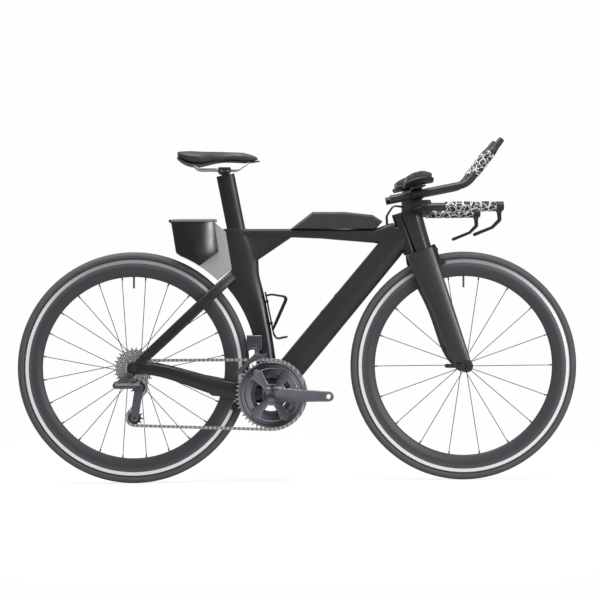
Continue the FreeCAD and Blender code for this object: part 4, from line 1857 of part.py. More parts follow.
def make_lid():
    """Lid of the rear storage box, hinged at its rear edge."""
    low = S.box_top_rise + S.clearance
    corner = box_point(S.lid_rear, low)
    panel = Part.makeBox(float(S.lid_rear - S.lid_front), float(S.box_half) * 2, float(S.lid_thickness),
                         corner - Y_WAY * float(S.box_half))
    edges = [edge for edge in panel.Edges if edge.CenterOfMass.z > corner.z + float(S.lid_thickness / 2)]
    panel = panel.makeFillet(float(S.lid_thickness) / 2, edges)
    tongue = Part.makeBox(corner.x - LID_HINGE.x + float(S.lid_knuckle), float(S.lid_knuckle_half) * 2,
                          float(S.lid_knuckle), Vector(LID_HINGE.x, -float(S.lid_knuckle_half), corner.z))
    barrel = lid_bar(S.lid_knuckle, S.lid_knuckle_half)
    solid = panel.fuse([tongue, barrel]).cut(lid_bar(S.lid_pin + S.fit, S.box_half))
    name_part(feature("tail_box_lid", solid), "tail_box_lid")


def make_box_bracket():
    """Wedge that carries the rear box on the seat tube and narrows to it."""
    tip = clear_point(box_point(S.bracket_tip_back, 0).x)
    front = [tip, box_point(-S.bracket_low_ahead, -S.bracket_low_drop),
             box_point(-S.bracket_top_ahead, -S.bracket_top_drop), BOX_FRONT[0]]
    side = side_solid(lines(BOX_FRONT) + [clear_arc(BOX_FRONT[-1], tip)] + lines(front), S.box_half)
    floor = tip.z - float(S.box_tail_back)
    rear_x, front_x = BOX_FRONT[-1].x, BOX_CORNER.x + float(S.bracket_low_ahead)
    wide, slim = float(S.bracket_half), float(S.bracket_front_half)
    plan = [Vector(rear_x, -wide, floor), Vector(front_x, -slim, floor), Vector(front_x, slim, floor),
            Vector(rear_x, wide, floor)]
    wedge = Part.Face(Part.makePolygon(plan + plan[:1])).extrude(Z_WAY * float(S.box_tail_back) * 3)
    solid = side.common(wedge).cut([FRAME_SOLID, PARTS["seat_stays"].Shape])
    name_part(feature("tail_box_bracket", max(solid.Solids, key=lambda piece: piece.Volume)),
              "tail_box_bracket")


def make_top_box():
    """Storage box on the top tube, closed and rounded."""
    top = float(BRACKET_Z + S.top_tube_rise)
    rear = float(BRACKET_X + S.top_box_rear)
    tip = steered(0, 0, HEAD_TOP).x - float(S.top_box_head_gap)
    step = rear + float(S.top_box_slope)
    front = tip - float(S.top_box_nose)
    crown = step + (front - step) * float(S.top_box_crown_share)
    corners = [(rear, 0), (step, S.top_box_rise), (crown, S.top_box_rise), (front, S.top_box_front_rise),
               (tip, S.top_box_tip_rise), (tip - float(S.top_box_foot), 0)]
    points = [vec(x, 0, top + float(rise)) for x, rise in corners]
    solid = side_solid(lines(points + points[:1]), S.top_box_half)
    rim = [edge for edge in solid.Edges if abs(edge.CenterOfMass.y) > float(S.top_box_half / 2)
           and edge.CenterOfMass.z > top + float(S.top_box_round)]
    solid = solid.makeFillet(float(S.top_box_round), rim).cut(FRAME_SOLID)
    name_part(feature("top_tube_box", max(solid.Solids, key=lambda piece: piece.Volume)), "top_tube_box")


def tube_front(rise):
    """Front edge of the seat tube at a height above the bottom bracket."""
    rows = sorted((row[0], row[2]) for row in stations("seat_tube"))
    for (low, low_ahead), (high, high_ahead) in zip(rows, rows[1:]):
        if low <= float(rise) <= high:
            share = (float(rise) - low) / (high - low)
            return BRACKET + vec(-(low_ahead + (high_ahead - low_ahead) * share), 0, rise)
    raise ValueError("that height is not on the seat tube")


CAGE_FOOT = tube_front(S.cage_low_rise)
CAGE_WAY = (tube_front(S.cage_high_rise) - CAGE_FOOT).normalize()
CAGE_FRONT = Y_WAY.cross(CAGE_WAY)
CAGE_LENGTH = (tube_front(S.cage_high_rise) - CAGE_FOOT).Length


def cage_point(along, side, ahead):
    """Point in the bottle cage's own axes, measured from its spine's lower end."""
    return (CAGE_FOOT + CAGE_WAY * float(along) + Y_WAY * float(side)
            + CAGE_FRONT * (float(ahead) + float(S.cage_gap)))


def cage_bolt_along(rise):
    """Place of a cage bolt along the spine."""
    return (tube_front(rise) - CAGE_FOOT).dot(CAGE_WAY)


def make_bottle_cage():
    """Bottle cage: a flat spine, two side loops and a bottom hook."""
    spine = Part.makeBox(CAGE_LENGTH, float(S.cage_spine_half) * 2, float(S.cage_spine))
    spine.Placement = Placement(cage_point(0, S.cage_spine_half, 0),
                                Rotation(CAGE_WAY, Y_WAY * -1, CAGE_FRONT, "XZY"))
    middle = S.cage_spine / 2
    inset = S.cage_spine_half - S.cage_rod
    rods = []
    for side in (-1, 1):
        rods.append(tube([cage_point(S.cage_arm_high, inset * side, middle),
                          cage_point(S.cage_arm_high, S.cage_side * side, S.cage_reach * S.cage_side_share),
                          cage_point(S.cage_arm_front, S.cage_side * side, S.cage_reach),
                          cage_point(S.cage_hook, S.cage_side * side, S.cage_reach * S.cage_side_share),
                          cage_point(S.cage_hook_drop, inset * side, middle)], S.cage_bend, S.cage_rod))
    hook = [cage_point(S.cage_rod, inset, middle), cage_point(-S.cage_hook_drop, inset * 2, middle * 4),
            cage_point(-S.cage_hook_drop, inset * 2, S.cage_hook)]
    other = [cage_point(-S.cage_hook_drop, inset * -2, S.cage_hook),
             cage_point(-S.cage_hook_drop, inset * -2, middle * 4), cage_point(S.cage_rod, -inset, middle)]
    rods.append(tube(hook + other, S.cage_bend, S.cage_rod))
    holes = [round_bar(S.cage_bolt_radius / 2 + S.fit, cage_point(cage_bolt_along(rise), 0,
                                                                  -S.cage_bolt_depth),
                       cage_point(cage_bolt_along(rise), 0, S.cage_bolt_depth))
             for rise in (S.cage_bolt_low, S.cage_bolt_high)]
    name_part(feature("bottle_cage", spine.fuse(rods).cut(holes)), "bottle_cage")


def make_cage_bolts():
    """Bolts of the bottle cage, each with a standoff that rests on the seat tube."""
    solids = []
    for rise in (S.cage_bolt_low, S.cage_bolt_high):
        along = cage_bolt_along(rise)
        head = round_bar(S.cage_bolt_radius, cage_point(along, 0, S.cage_spine),
                         cage_point(along, 0, S.cage_spine + S.cage_bolt_radius / 2))
        shaft = round_bar(S.cage_bolt_radius / 2, cage_point(along, 0, 0), cage_point(along, 0, S.cage_spine))
        standoff = round_bar(S.cage_bolt_radius, cage_point(along, 0, -S.cage_bolt_depth),
                             cage_point(along, 0, 0))
        pieces = head.fuse([shaft, standoff]).cut(FRAME_SOLID)
        solids.append(max(pieces.Solids, key=lambda piece: piece.BoundBox.XMax))
    name_part(feature("cage_bolts", Part.Compound(solids)), "cage_bolts")


def make_cables():
    """Cables that leave the top tube and loop into the stem."""
    solids = []
    for step in (-1, 0, 1):
        side = S.cable_spacing * step
        route = [cockpit(-S.cable_foot_back, side, -S.cable_foot_drop), cockpit(-S.cable_loop_back, side,
                                                                                S.cable_loop_low),
                 cockpit(-S.cable_loop_ahead, side, S.cable_loop_high),
                 cockpit(S.stem_rear - S.clearance * 2, side, S.cable_end_rise)]
        cable = tube(route, S.cable_bend, S.cable_radius).cut(FRAME_SOLID)
        solids.append(max(cable.Solids, key=lambda piece: piece.BoundBox.ZMax))
    name_part(feature("cables", Part.Compound(solids)), "cables")


make_rear_brake()
make_front_derailleur()
make_front_cage()
make_rd_bracket()
make_rd_link()
make_rd_knuckle()
make_rd_cage()
make_tail_box()
make_lid()
make_box_bracket()
make_top_box()
make_bottle_cage()
make_cage_bolts()
make_cables()

doc.recompute()
for item in doc.Objects:
    if "Invalid" in item.State or "Error" in item.State:
        raise ValueError(f"{item.Label} did not compute: {item.State}")
for label, item in PARTS.items():
    if item.Shape.isNull() or not item.Shape.isValid():
        raise ValueError(f"{label} has no valid shape")
os.makedirs("parts", exist_ok=True)
for label, item in PARTS.items():
    item.Shape.exportStep(f"parts/{label}.step")
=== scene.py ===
"""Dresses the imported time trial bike: finishes, padding, tape, fasteners and a studio stage."""
import json
import math

import bmesh
import bpy
from mathutils import Matrix, Vector
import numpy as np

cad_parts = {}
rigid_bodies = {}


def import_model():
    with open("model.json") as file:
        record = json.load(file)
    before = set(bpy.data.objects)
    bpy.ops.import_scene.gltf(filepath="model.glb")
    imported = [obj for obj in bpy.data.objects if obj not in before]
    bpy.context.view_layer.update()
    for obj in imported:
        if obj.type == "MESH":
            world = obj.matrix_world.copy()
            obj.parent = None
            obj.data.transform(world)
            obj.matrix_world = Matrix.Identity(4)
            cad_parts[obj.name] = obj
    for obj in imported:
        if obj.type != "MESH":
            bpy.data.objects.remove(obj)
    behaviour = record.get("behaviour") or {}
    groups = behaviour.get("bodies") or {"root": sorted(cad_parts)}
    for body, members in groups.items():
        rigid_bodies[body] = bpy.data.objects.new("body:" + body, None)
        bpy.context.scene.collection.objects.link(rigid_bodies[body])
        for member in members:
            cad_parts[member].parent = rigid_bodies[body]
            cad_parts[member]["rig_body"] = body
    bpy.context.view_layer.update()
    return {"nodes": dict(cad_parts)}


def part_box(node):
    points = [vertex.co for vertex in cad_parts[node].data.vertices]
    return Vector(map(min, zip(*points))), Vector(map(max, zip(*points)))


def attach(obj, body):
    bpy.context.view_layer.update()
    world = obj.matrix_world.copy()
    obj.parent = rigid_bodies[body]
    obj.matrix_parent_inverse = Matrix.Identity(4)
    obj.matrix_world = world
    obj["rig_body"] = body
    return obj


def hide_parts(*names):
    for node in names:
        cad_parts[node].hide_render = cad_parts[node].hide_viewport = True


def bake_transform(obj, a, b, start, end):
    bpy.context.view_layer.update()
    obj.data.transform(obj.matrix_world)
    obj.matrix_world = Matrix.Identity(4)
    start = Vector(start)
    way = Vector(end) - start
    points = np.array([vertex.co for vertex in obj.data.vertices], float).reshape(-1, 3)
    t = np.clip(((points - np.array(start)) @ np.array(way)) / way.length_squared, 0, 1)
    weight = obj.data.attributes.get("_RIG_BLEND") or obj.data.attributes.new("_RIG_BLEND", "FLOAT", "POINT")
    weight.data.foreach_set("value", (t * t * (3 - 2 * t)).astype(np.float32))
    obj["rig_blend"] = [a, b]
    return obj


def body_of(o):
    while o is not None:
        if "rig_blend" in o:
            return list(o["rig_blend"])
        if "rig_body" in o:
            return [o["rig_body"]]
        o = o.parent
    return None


bl_info = {
    "name": "Time trial bike dresser",
    "version": (1, 0, 0),
    "blender": (4, 5, 0),
    "location": "View3D > Sidebar > Bike",
    "description": "Finishes, soft pieces and fasteners for a time trial bike",
    "category": "Object",
}

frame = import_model()
NODES = frame["nodes"]

AXLE_HEIGHT = 0.3355
FRONT_AXLE = Vector((0.483, 0.0, AXLE_HEIGHT))
REAR_AXLE = Vector((-0.483, 0.0, AXLE_HEIGHT))
CRANK_AXIS = Vector((-0.087, 0.0, 0.2567))
COCKPIT = Vector((0.292178, 0.0, 0.774434))
ROUND = math.tau

# Where the finishes of wheels, rings and chain change, and where light is painted: the rims' painted
# highlight band, and painted shade in the ring's groove, the tyre's cuts, between chain links and between
# sprocket teeth
TRACK_INNER, TRACK_OUTER = 0.3030, 0.3122
RIM_HIGHLIGHT_START, RIM_HIGHLIGHT_END = 0.289, 0.3015
TOOTH_FOOT, GROOVE_RADIUS, GROOVE_HALF = 0.0955, 0.0885, 0.0012
SHOULDER_START, SHOULDER_END, SHOULDER_RADIUS, WALL_RADIUS = 0.0055, 0.0095, 0.325, 0.3245
CHAIN_PITCH, SPROCKET_STEP, SPROCKET_TEETH = 0.0127, 0.0062, 26.0

# Steering axis, and how the nose cone's top meets the stem
STEER_WAY = Vector((-0.300706, 0.0, 0.953717))
STEER_AHEAD = Vector((0.953717, 0.0, 0.300706))
NOSE_GAP = 0.0005
NOSE_EASE = 0.04

# Shading and filling
BUMP_REACH = 0.0003
SHARP_ANGLE = math.radians(24.0)
JOIN_DISTANCE = 0.000002
FILL_FRAMES, FILL_PRESSURE = 20, 4.0
PAD_INSET = 0.0015

# Taped stretches: how far ahead and how high their ends are from the cockpit's base
HORN_TAPE = ((0.108, 0.01802), (0.252, 0.01952))
HORN_SIDE, HORN_RADIUS = 0.190, 0.0142
EXTENSION_LINE = ((0.193, 0.0915), (0.264, 0.182))
EXTENSION_SIDE, EXTENSION_RADIUS, EXTENSION_TAPE = 0.055, 0.0128, 0.078

# Stage
PAPER_WHITE, ROOM_LIGHT = 0.99, 0.42
FLOOR_REACH, FLOOR_DROP = 60.0, 0.0006
CAMERA_PLACE = Vector((-0.3484, -4.9878, 0.5301))
CAMERA_LENS, CAMERA_SENSOR = 102.56, 36.0
CAMERA_YAW, CAMERA_ROLL = math.radians(4.0), math.radians(-0.226)

# Kinds of tree inputs
FLOAT, WHOLE, VECTOR = "NodeSocketFloat", "NodeSocketInt", "NodeSocketVector"
MATERIAL, THING = "NodeSocketMaterial", "NodeSocketObject"


# Settings

def colour_property(label, note, default):
    return bpy.props.FloatVectorProperty(name=label, description=note, subtype="COLOR", size=3, min=0.0,
                                         max=1.0, default=default)


def length_property(label, note, default):
    return bpy.props.FloatProperty(name=label, description=note, subtype="DISTANCE", unit="LENGTH",
                                   min=0.0, precision=4, default=default)


class BikeColours(bpy.types.PropertyGroup):
    """Colours of the bike's finishes."""
    frame: colour_property("Frame", "Matte paint of the frame", (0.0115, 0.0120, 0.0140))
    fork: colour_property("Fork", "Paint of the fork and nose cone", (0.0190, 0.0198, 0.0230))
    gloss: colour_property("Gloss black", "Clear-coated black of the rear box and bottle cage",
                           (0.004, 0.004, 0.005))
    rim: colour_property("Rim", "Bare carbon of the rims", (0.038, 0.040, 0.045))
    track: colour_property("Brake track", "Machined ring that the brakes hold", (0.88, 0.88, 0.90))
    tyre: colour_property("Tyre", "Rubber of the tyres", (0.070, 0.071, 0.074))
    steel: colour_property("Steel", "Plated steel of the chain and sprockets", (0.55, 0.55, 0.54))
    gunmetal: colour_property("Gunmetal", "Anodised cranks and gear parts", (0.20, 0.205, 0.235))
    plastic: colour_property("Plastic", "Black moulded parts", (0.010, 0.010, 0.011))
    tape_dark: colour_property("Tape ground", "Ground of the bar tape", (0.012, 0.012, 0.013))
    tape_pale: colour_property("Tape marks", "Crossing marks on the bar tape", (0.80, 0.80, 0.78))
    saddle: colour_property("Saddle", "Skin of the saddle", (0.026, 0.025, 0.027))
    foam: colour_property("Arm pads", "Cloth of the arm pads", (0.030, 0.030, 0.033))


class BikeSizes(bpy.types.PropertyGroup):
    """Sizes of the pieces made here."""
    tape_pitch: length_property("Tape pitch", "Step of the tape along the bar per turn", 0.021)
    tape_step: length_property("Tape edge", "Height of the tape's overlapping edge", 0.0008)
    nipple_length: length_property("Nipple length", "Part of a spoke nipple outside the rim", 0.009)
    nipple_radius: length_property("Nipple radius", "Radius of a spoke nipple", 0.0021)
    pad_voxel: length_property("Pad voxel", "Grid of the padded pieces", 0.004)
    pad_swell: length_property("Pad swell", "Most that padding moves as it fills", 0.004)
    pad_crown: length_property("Pad crown", "Height of the arm pads' crown above their shells", 0.011)


# Node building

class NodeBuilder:
    """Short ways to add nodes to a tree and to link them."""

    def __init__(self, tree):
        self.nodes = tree.nodes
        self.links = tree.links

    def add(self, kind, settings=None, **inputs):
        """New node; an underscore stands for a space in the name of an input."""
        node = self.nodes.new(kind)
        for key, value in (settings or {}).items():
            setattr(node, key, value)
        for key, value in inputs.items():
            self.plug(node.inputs[key.replace("_", " ")], value)
        return node

    def plug(self, socket, value):
        """Links a socket or a node's first output, or sets a plain value."""
        if isinstance(value, bpy.types.Node):
            value = value.outputs[0]
        if isinstance(value, bpy.types.NodeSocket):
            self.links.new(value, socket)
        else:
            socket.default_value = value

    def fed(self, node, *values):
        """The same node, with its first inputs filled in order."""
        for socket, value in zip(node.inputs, values):
            self.plug(socket, value)
        return node

    def math(self, operation, *values):
        return self.fed(self.add("ShaderNodeMath", {"operation": operation}), *values).outputs[0]

    def times(self, first, second):
        return self.math("MULTIPLY", first, second)

    def plus(self, first, second):
        return self.math("ADD", first, second)

    def within(self, value, low, high):
        """1 between two limits and 0 outside them."""
        return self.times(self.math("GREATER_THAN", value, low), self.math("LESS_THAN", value, high))

    def between(self, value, low, high, start=0.0, end=1.0):
        """Value between two limits, as a share or in a new range."""
        return self.add("ShaderNodeMapRange", Value=value, From_Min=low, From_Max=high, To_Min=start,
                        To_Max=end).outputs[0]

    def vector(self, operation, first, second):
        node = self.add("ShaderNodeVectorMath", {"operation": operation})
        self.plug(node.inputs[0], first)
        self.plug(node.inputs["Scale" if operation == "SCALE" else 1], second)
        return node.outputs[0]

    def length(self, vector):
        node = self.add("ShaderNodeVectorMath", {"operation": "LENGTH"})
        return self.fed(node, vector).outputs["Value"]

    def blend(self, share, first, second):
        """Shader mixed from two others."""
        return self.fed(self.add("ShaderNodeMixShader"), share, first, second).outputs[0]


# Materials

class Finish(NodeBuilder):
    """One procedural material around a Principled shader."""

    def __init__(self, name, colour, roughness, **sockets):
        self.material = bpy.data.materials.new(name)
        self.material.use_nodes = True
        super().__init__(self.material.node_tree)
        self.shader = self.nodes["Principled BSDF"]
        self.shader.inputs["Base Color"].default_value = (*colour, 1.0)
        self.shader.inputs["Roughness"].default_value = roughness
        for socket, value in sockets.items():
            self.shader.inputs[socket.replace("_", " ")].default_value = value
        self.place = self.add("ShaderNodeTexCoord").outputs["Object"]
        self.height = None

    def soften(self, reach):
        """Rounds hard edges in the shading, so that they catch the light."""
        self.height = self.add("ShaderNodeBevel", {"samples": 6}, Radius=reach).outputs[0]
        self.links.new(self.height, self.shader.inputs["Normal"])

    def mapped(self, scale=(1, 1, 1), centre=(0, 0, 0), turn=(0, 0, 0)):
        """Object coordinates about a centre, turned and scaled."""
        moved = self.vector("SUBTRACT", self.place, centre)
        return self.add("ShaderNodeMapping", Vector=moved, Rotation=turn, Scale=scale).outputs[0]

    def noise(self, scale, detail=3.0, roughness=0.55, vector=None):
        return self.add("ShaderNodeTexNoise", Vector=vector or self.place, Scale=scale, Detail=detail,
                        Roughness=roughness).outputs["Fac"]

    def mix(self, share, first, second):
        node = self.add("ShaderNodeMix", {"data_type": "RGBA"})
        self.plug(node.inputs["Factor"], share)
        for socket, value in ((node.inputs[6], first), (node.inputs[7], second)):
            self.plug(socket, value if isinstance(value, bpy.types.NodeSocket) else (*value, 1.0))
        return node.outputs[2]

    def tone(self, share, colour, low, high):
        """Colour between a darker and a lighter shade of itself."""
        return self.mix(share, shade(colour, low), shade(colour, high))

    def tint(self, share, colour, low, high):
        """Paints the tone."""
        self.paint(self.tone(share, colour, low, high))

    def paint(self, value):
        self.plug(self.shader.inputs["Base Color"], value)

    def polish(self, share, low, high, smooth, rough):
        """Roughness that follows a share between two limits."""
        self.plug(self.shader.inputs["Roughness"], self.between(share, low, high, smooth, rough))

    def shine(self, value):
        self.plug(self.shader.inputs["Metallic"], value)

    def grain(self, scale, strength, distance=BUMP_REACH):
        self.bump(self.noise(scale, 2.0), strength, distance)

    def bump(self, height, strength, distance=BUMP_REACH):
        node = self.add("ShaderNodeBump", Height=height, Strength=strength, Distance=distance)
        if self.height is not None:
            self.links.new(self.height, node.inputs["Normal"])
        self.height = node.outputs[0]
        self.links.new(self.height, self.shader.inputs["Normal"])

    def radius(self, axle):
        """Distance from a wheel's axle, seen from the side."""
        return self.length(self.mapped((1, 0, 1), axle))

    def angle(self, axle):
        """Angle round a wheel's axle, seen from the side."""
        split = self.add("ShaderNodeSeparateXYZ", Vector=self.mapped((1, 1, 1), axle))
        return self.math("ARCTAN2", split.outputs["Z"], split.outputs["X"])


def shade(colour, factor):
    """Colour times a factor, up to full strength."""
    return tuple(min(channel * factor, 1.0) for channel in colour)


def painted(name, colour, roughness, grain=900.0, spread=0.12, coat=0.0, coat_roughness=0.1):
    """Paint with a faint cloud of tone, fine orange peel and a little handling shine."""
    finish = Finish(name, colour, roughness, Coat_Weight=coat, Coat_Roughness=coat_roughness)
    finish.soften(0.0012)
    cloud = finish.noise(9.0, 4.0)
    finish.tint(cloud, colour, 1.0 - spread, 1.0 + spread)
    finish.polish(finish.noise(38.0, 5.0), 0.25, 0.75, roughness * 0.88, roughness * 1.12)
    finish.grain(grain, 0.06, 0.0004)
    return finish.material


def gloss_finish(name, colour):
    """Deep polished lacquer with faint clouds in its polish."""
    finish = Finish(name, colour, 0.04)
    finish.soften(0.0025)
    finish.tint(finish.noise(7.0, 3.0), colour, 0.8, 1.3)
    finish.polish(finish.noise(16.0, 3.0), 0.3, 0.7, 0.025, 0.07)
    return finish.material


def brushed(name, colour, roughness, along=(1, 1, 1), grime=0.25):
    """Metal with fine brush lines and darker grime in patches."""
    finish = Finish(name, colour, roughness, Metallic=1.0)
    lines = finish.noise(1.0, 3.0, vector=finish.mapped(tuple(600.0 / (1 + 30 * axis) for axis in along)))
    dirt = finish.between(finish.noise(55.0, 6.0), 0.48, 0.72)
    clean = finish.tone(lines, colour, 0.86, 1.10)
    finish.paint(finish.mix(finish.times(dirt, grime), clean, shade(colour, 0.25)))
    finish.polish(lines, 0.2, 0.8, roughness * 0.8, roughness * 1.3)
    finish.bump(lines, 0.05)
    return finish.material


def anodised(name, colour, roughness):
    """Anodised alloy: a bright base under a dark tint, with a soft cloud in its polish."""
    finish = Finish(name, colour, roughness, Metallic=0.85, Coat_Weight=0.35, Coat_Roughness=0.12)
    finish.soften(0.0012)
    cloud = finish.noise(30.0, 4.0)
    finish.tint(cloud, colour, 0.75, 1.2)
    finish.polish(finish.noise(60.0, 4.0), 0.3, 0.7, roughness * 0.85, roughness * 1.2)
    finish.grain(1300.0, 0.05)
    return finish.material


def crank_finish(name, colour, axle):
    """Polished crank: dark alloy with painted reflections, bright streaks that spread out from the axle."""
    finish = Finish(name, colour, 0.22, Metallic=0.85, Coat_Weight=0.35, Coat_Roughness=0.12)
    finish.soften(0.0025)
    angle = finish.angle(axle)
    # Painted reflection: the base colour is brightened in streaks by angle round the axle
    reflection_fan = finish.math("SINE", finish.plus(finish.times(angle, 3.0), 0.6))
    reflection_fan = finish.plus(reflection_fan, finish.times(finish.noise(24.0, 3.0), 0.8))
    finish.tint(finish.between(reflection_fan, -0.8, 1.6), colour, 0.45, 2.2)
    finish.polish(finish.noise(60.0, 4.0), 0.3, 0.7, 0.18, 0.27)
    finish.grain(1300.0, 0.05)
    return finish.material


def ring_finish(name, colours, axle):
    """Chainring: an anodised face with painted reflections in sectors round the axle, a turned groove with
    painted shade, and plated teeth.
    """
    finish = Finish(name, colours.gunmetal, 0.3, Metallic=0.9)
    finish.soften(0.0008)
    radius = finish.radius(axle)
    teeth = finish.math("GREATER_THAN", radius, TOOTH_FOOT)
    offset = finish.math("ABSOLUTE", finish.math("SUBTRACT", radius, GROOVE_RADIUS))
    groove = finish.math("LESS_THAN", offset, GROOVE_HALF)
    turned = finish.noise(1800.0, 2.0, vector=finish.add("ShaderNodeCombineXYZ", X=radius).outputs[0])
    # Painted reflection: the face is brighter and darker by angle round the axle
    reflection_fan = finish.math("SINE", finish.plus(finish.times(finish.angle(axle), 2.0), 0.9))
    face = finish.tone(finish.between(reflection_fan, -1.0, 1.0), colours.gunmetal, 0.22, 1.5)
    # Painted shade: the groove is painted much darker than the face around it
    face = finish.mix(groove, face, shade(colours.gunmetal, 0.15))
    finish.paint(finish.mix(teeth, face, finish.tone(turned, colours.steel, 0.6, 0.9)))
    finish.polish(turned, 0.2, 0.8, 0.22, 0.36)
    finish.bump(turned, 0.05)
    finish.bump(groove, -0.4, 0.0006)
    return finish.material


def sprocket_finish(name, colour, axle, row, teeth):
    """Stacked sprockets: plated teeth with painted highlights, and painted shade in the gaps, row by row."""
    finish = Finish(name, colour, 0.3, Metallic=1.0)
    radius = finish.radius(axle)
    spin = finish.math("SINE", finish.times(finish.angle(axle), teeth))
    step = finish.math("SINE", finish.times(radius, ROUND / row))
    # Painted light: the teeth are brightened as highlights, and the gaps between teeth and rows are darkened
    # as shade
    bright = finish.between(finish.plus(finish.times(spin, step), finish.noise(160.0, 3.0)), 0.25, 0.8)
    finish.tint(bright, colour, 0.16, 1.8)
    finish.polish(finish.noise(90.0, 3.0), 0.3, 0.7, 0.22, 0.38)
    finish.bump(bright, 0.2, 0.0008)
    return finish.material


def chain_finish(name, colour, pitch):
    """Chain: plated links, with painted shade in bands a link apart along the bike, and dark oil in patches.
    """
    finish = Finish(name, colour, 0.3, Metallic=1.0)
    split = finish.add("ShaderNodeSeparateXYZ", Vector=finish.place)
    # Painted shade: darker bands between the links, a chain pitch apart
    link = finish.math("SINE", finish.times(split.outputs["X"], ROUND / pitch))
    oil = finish.noise(120.0, 4.0)
    # The mix holds both the painted shade bands and the real oil patches
    bright = finish.between(finish.plus(link, finish.times(oil, 0.8)), -0.8, 1.2)
    finish.tint(bright, colour, 0.35, 1.1)
    finish.polish(oil, 0.3, 0.7, 0.24, 0.42)
    finish.bump(oil, 0.08)
    return finish.material


def frame_finish(name, colour, roughness):
    """Frame paint: matte above, and polished by spray and hands low on the seat tube."""
    finish = Finish(name, colour, roughness)
    finish.soften(0.002)
    split = finish.add("ShaderNodeSeparateXYZ", Vector=finish.place)
    low = finish.between(split.outputs["Z"], 0.62, 0.48)
    rear = finish.between(split.outputs["X"], -0.02, -0.08)
    gloss = finish.times(low, rear)
    cloud = finish.noise(9.0, 4.0)
    finish.tint(cloud, colour, 0.85, 1.15)
    matte = finish.between(finish.noise(38.0, 5.0), 0.25, 0.75, roughness * 0.88, roughness * 1.12)
    worn = finish.times(matte, finish.between(gloss, 0.0, 1.0, 1.0, 0.45))
    finish.plug(finish.shader.inputs["Roughness"], worn)
    finish.grain(900.0, 0.06, 0.0004)
    return finish.material


def moulded(name, colour, roughness, grain=1500.0, strength=0.18):
    """Moulded plastic with a fine spark-eroded grain."""
    finish = Finish(name, colour, roughness)
    finish.tint(finish.noise(24.0, 4.0), colour, 0.85, 1.2)
    finish.polish(finish.noise(70.0, 3.0), 0.3, 0.7, roughness * 0.9, roughness * 1.1)
    finish.grain(grain, strength)
    return finish.material


def rim_finish(name, colours, axle):
    """Carbon rim: a faint weave, a painted highlight in a paler band beside the brake ring, and a machined
    brake ring with painted shade towards the top.
    """
    finish = Finish(name, colours.rim, 0.42)
    radius = finish.radius(axle)
    track = finish.within(radius, TRACK_INNER, TRACK_OUTER)
    threads = finish.mapped((420, 1, 420), axle, (0, math.radians(45), 0))
    weave = finish.add("ShaderNodeTexChecker", Vector=threads, Scale=1.0).outputs["Fac"]
    cloud = finish.noise(14.0, 4.0)
    grain = finish.plus(finish.times(weave, 0.25), finish.times(cloud, 0.6))
    carbon = finish.tone(grain, colours.rim, 0.8, 1.2)
    # Painted highlight: the carbon is lightened in a band just inside the brake ring
    glow = finish.between(radius, RIM_HIGHLIGHT_START, RIM_HIGHLIGHT_END)
    carbon = finish.mix(glow, carbon, shade(colours.rim, 2.0))
    rings = finish.noise(2600.0, 2.0, vector=finish.add("ShaderNodeCombineXYZ", X=radius).outputs[0])
    metal = finish.tone(rings, colours.track, 0.82, 1.12)
    # Painted shade: the brake ring is darkened towards the top of the wheel
    top_shade = finish.between(finish.math("SINE", finish.angle(axle)), 0.5, 0.95)
    metal = finish.mix(top_shade, metal, shade(colours.track, 0.35))
    finish.paint(finish.mix(track, carbon, metal))
    finish.shine(finish.times(track, 0.25))
    finish.polish(track, 0.0, 1.0, 0.42, 0.30)
    finish.bump(finish.times(rings, track), 0.1)
    return finish.material


def tyre_finish(name, colour, axle):
    """Rubber: smooth crown, a shoulder of small slanted cuts with painted shade in them, and a ribbed side
    wall.
    """
    finish = Finish(name, colour, 0.62)
    split = finish.add("ShaderNodeSeparateXYZ", Vector=finish.mapped((1, 1, 1), axle))
    angle = finish.math("ARCTAN2", split.outputs["Z"], split.outputs["X"])
    aside = finish.math("ABSOLUTE", split.outputs["Y"])
    radius = finish.radius(axle)
    shoulder = finish.within(aside, SHOULDER_START, SHOULDER_END)
    shoulder = finish.times(shoulder, finish.math("GREATER_THAN", radius, SHOULDER_RADIUS))
    turns = finish.plus(finish.times(angle, 300.0 / ROUND), finish.times(aside, 160.0))
    cut = finish.math("LESS_THAN", finish.math("FRACT", turns), 0.22)
    cuts = finish.times(shoulder, cut)
    ribs = finish.math("SINE", finish.times(radius, 5200.0))
    wall = finish.math("LESS_THAN", radius, WALL_RADIUS)
    dust = finish.noise(30.0, 6.0)
    base = finish.tone(dust, colour, 0.8, 1.35)
    # Painted shade: the cuts are painted much darker than the rubber around them
    finish.paint(finish.mix(cuts, base, shade(colour, 0.35)))
    finish.polish(dust, 0.3, 0.7, 0.54, 0.72)
    finish.bump(finish.times(ribs, wall), 0.10)
    finish.bump(cuts, -0.5, 0.0006)
    finish.grain(1400.0, 0.12)
    return finish.material


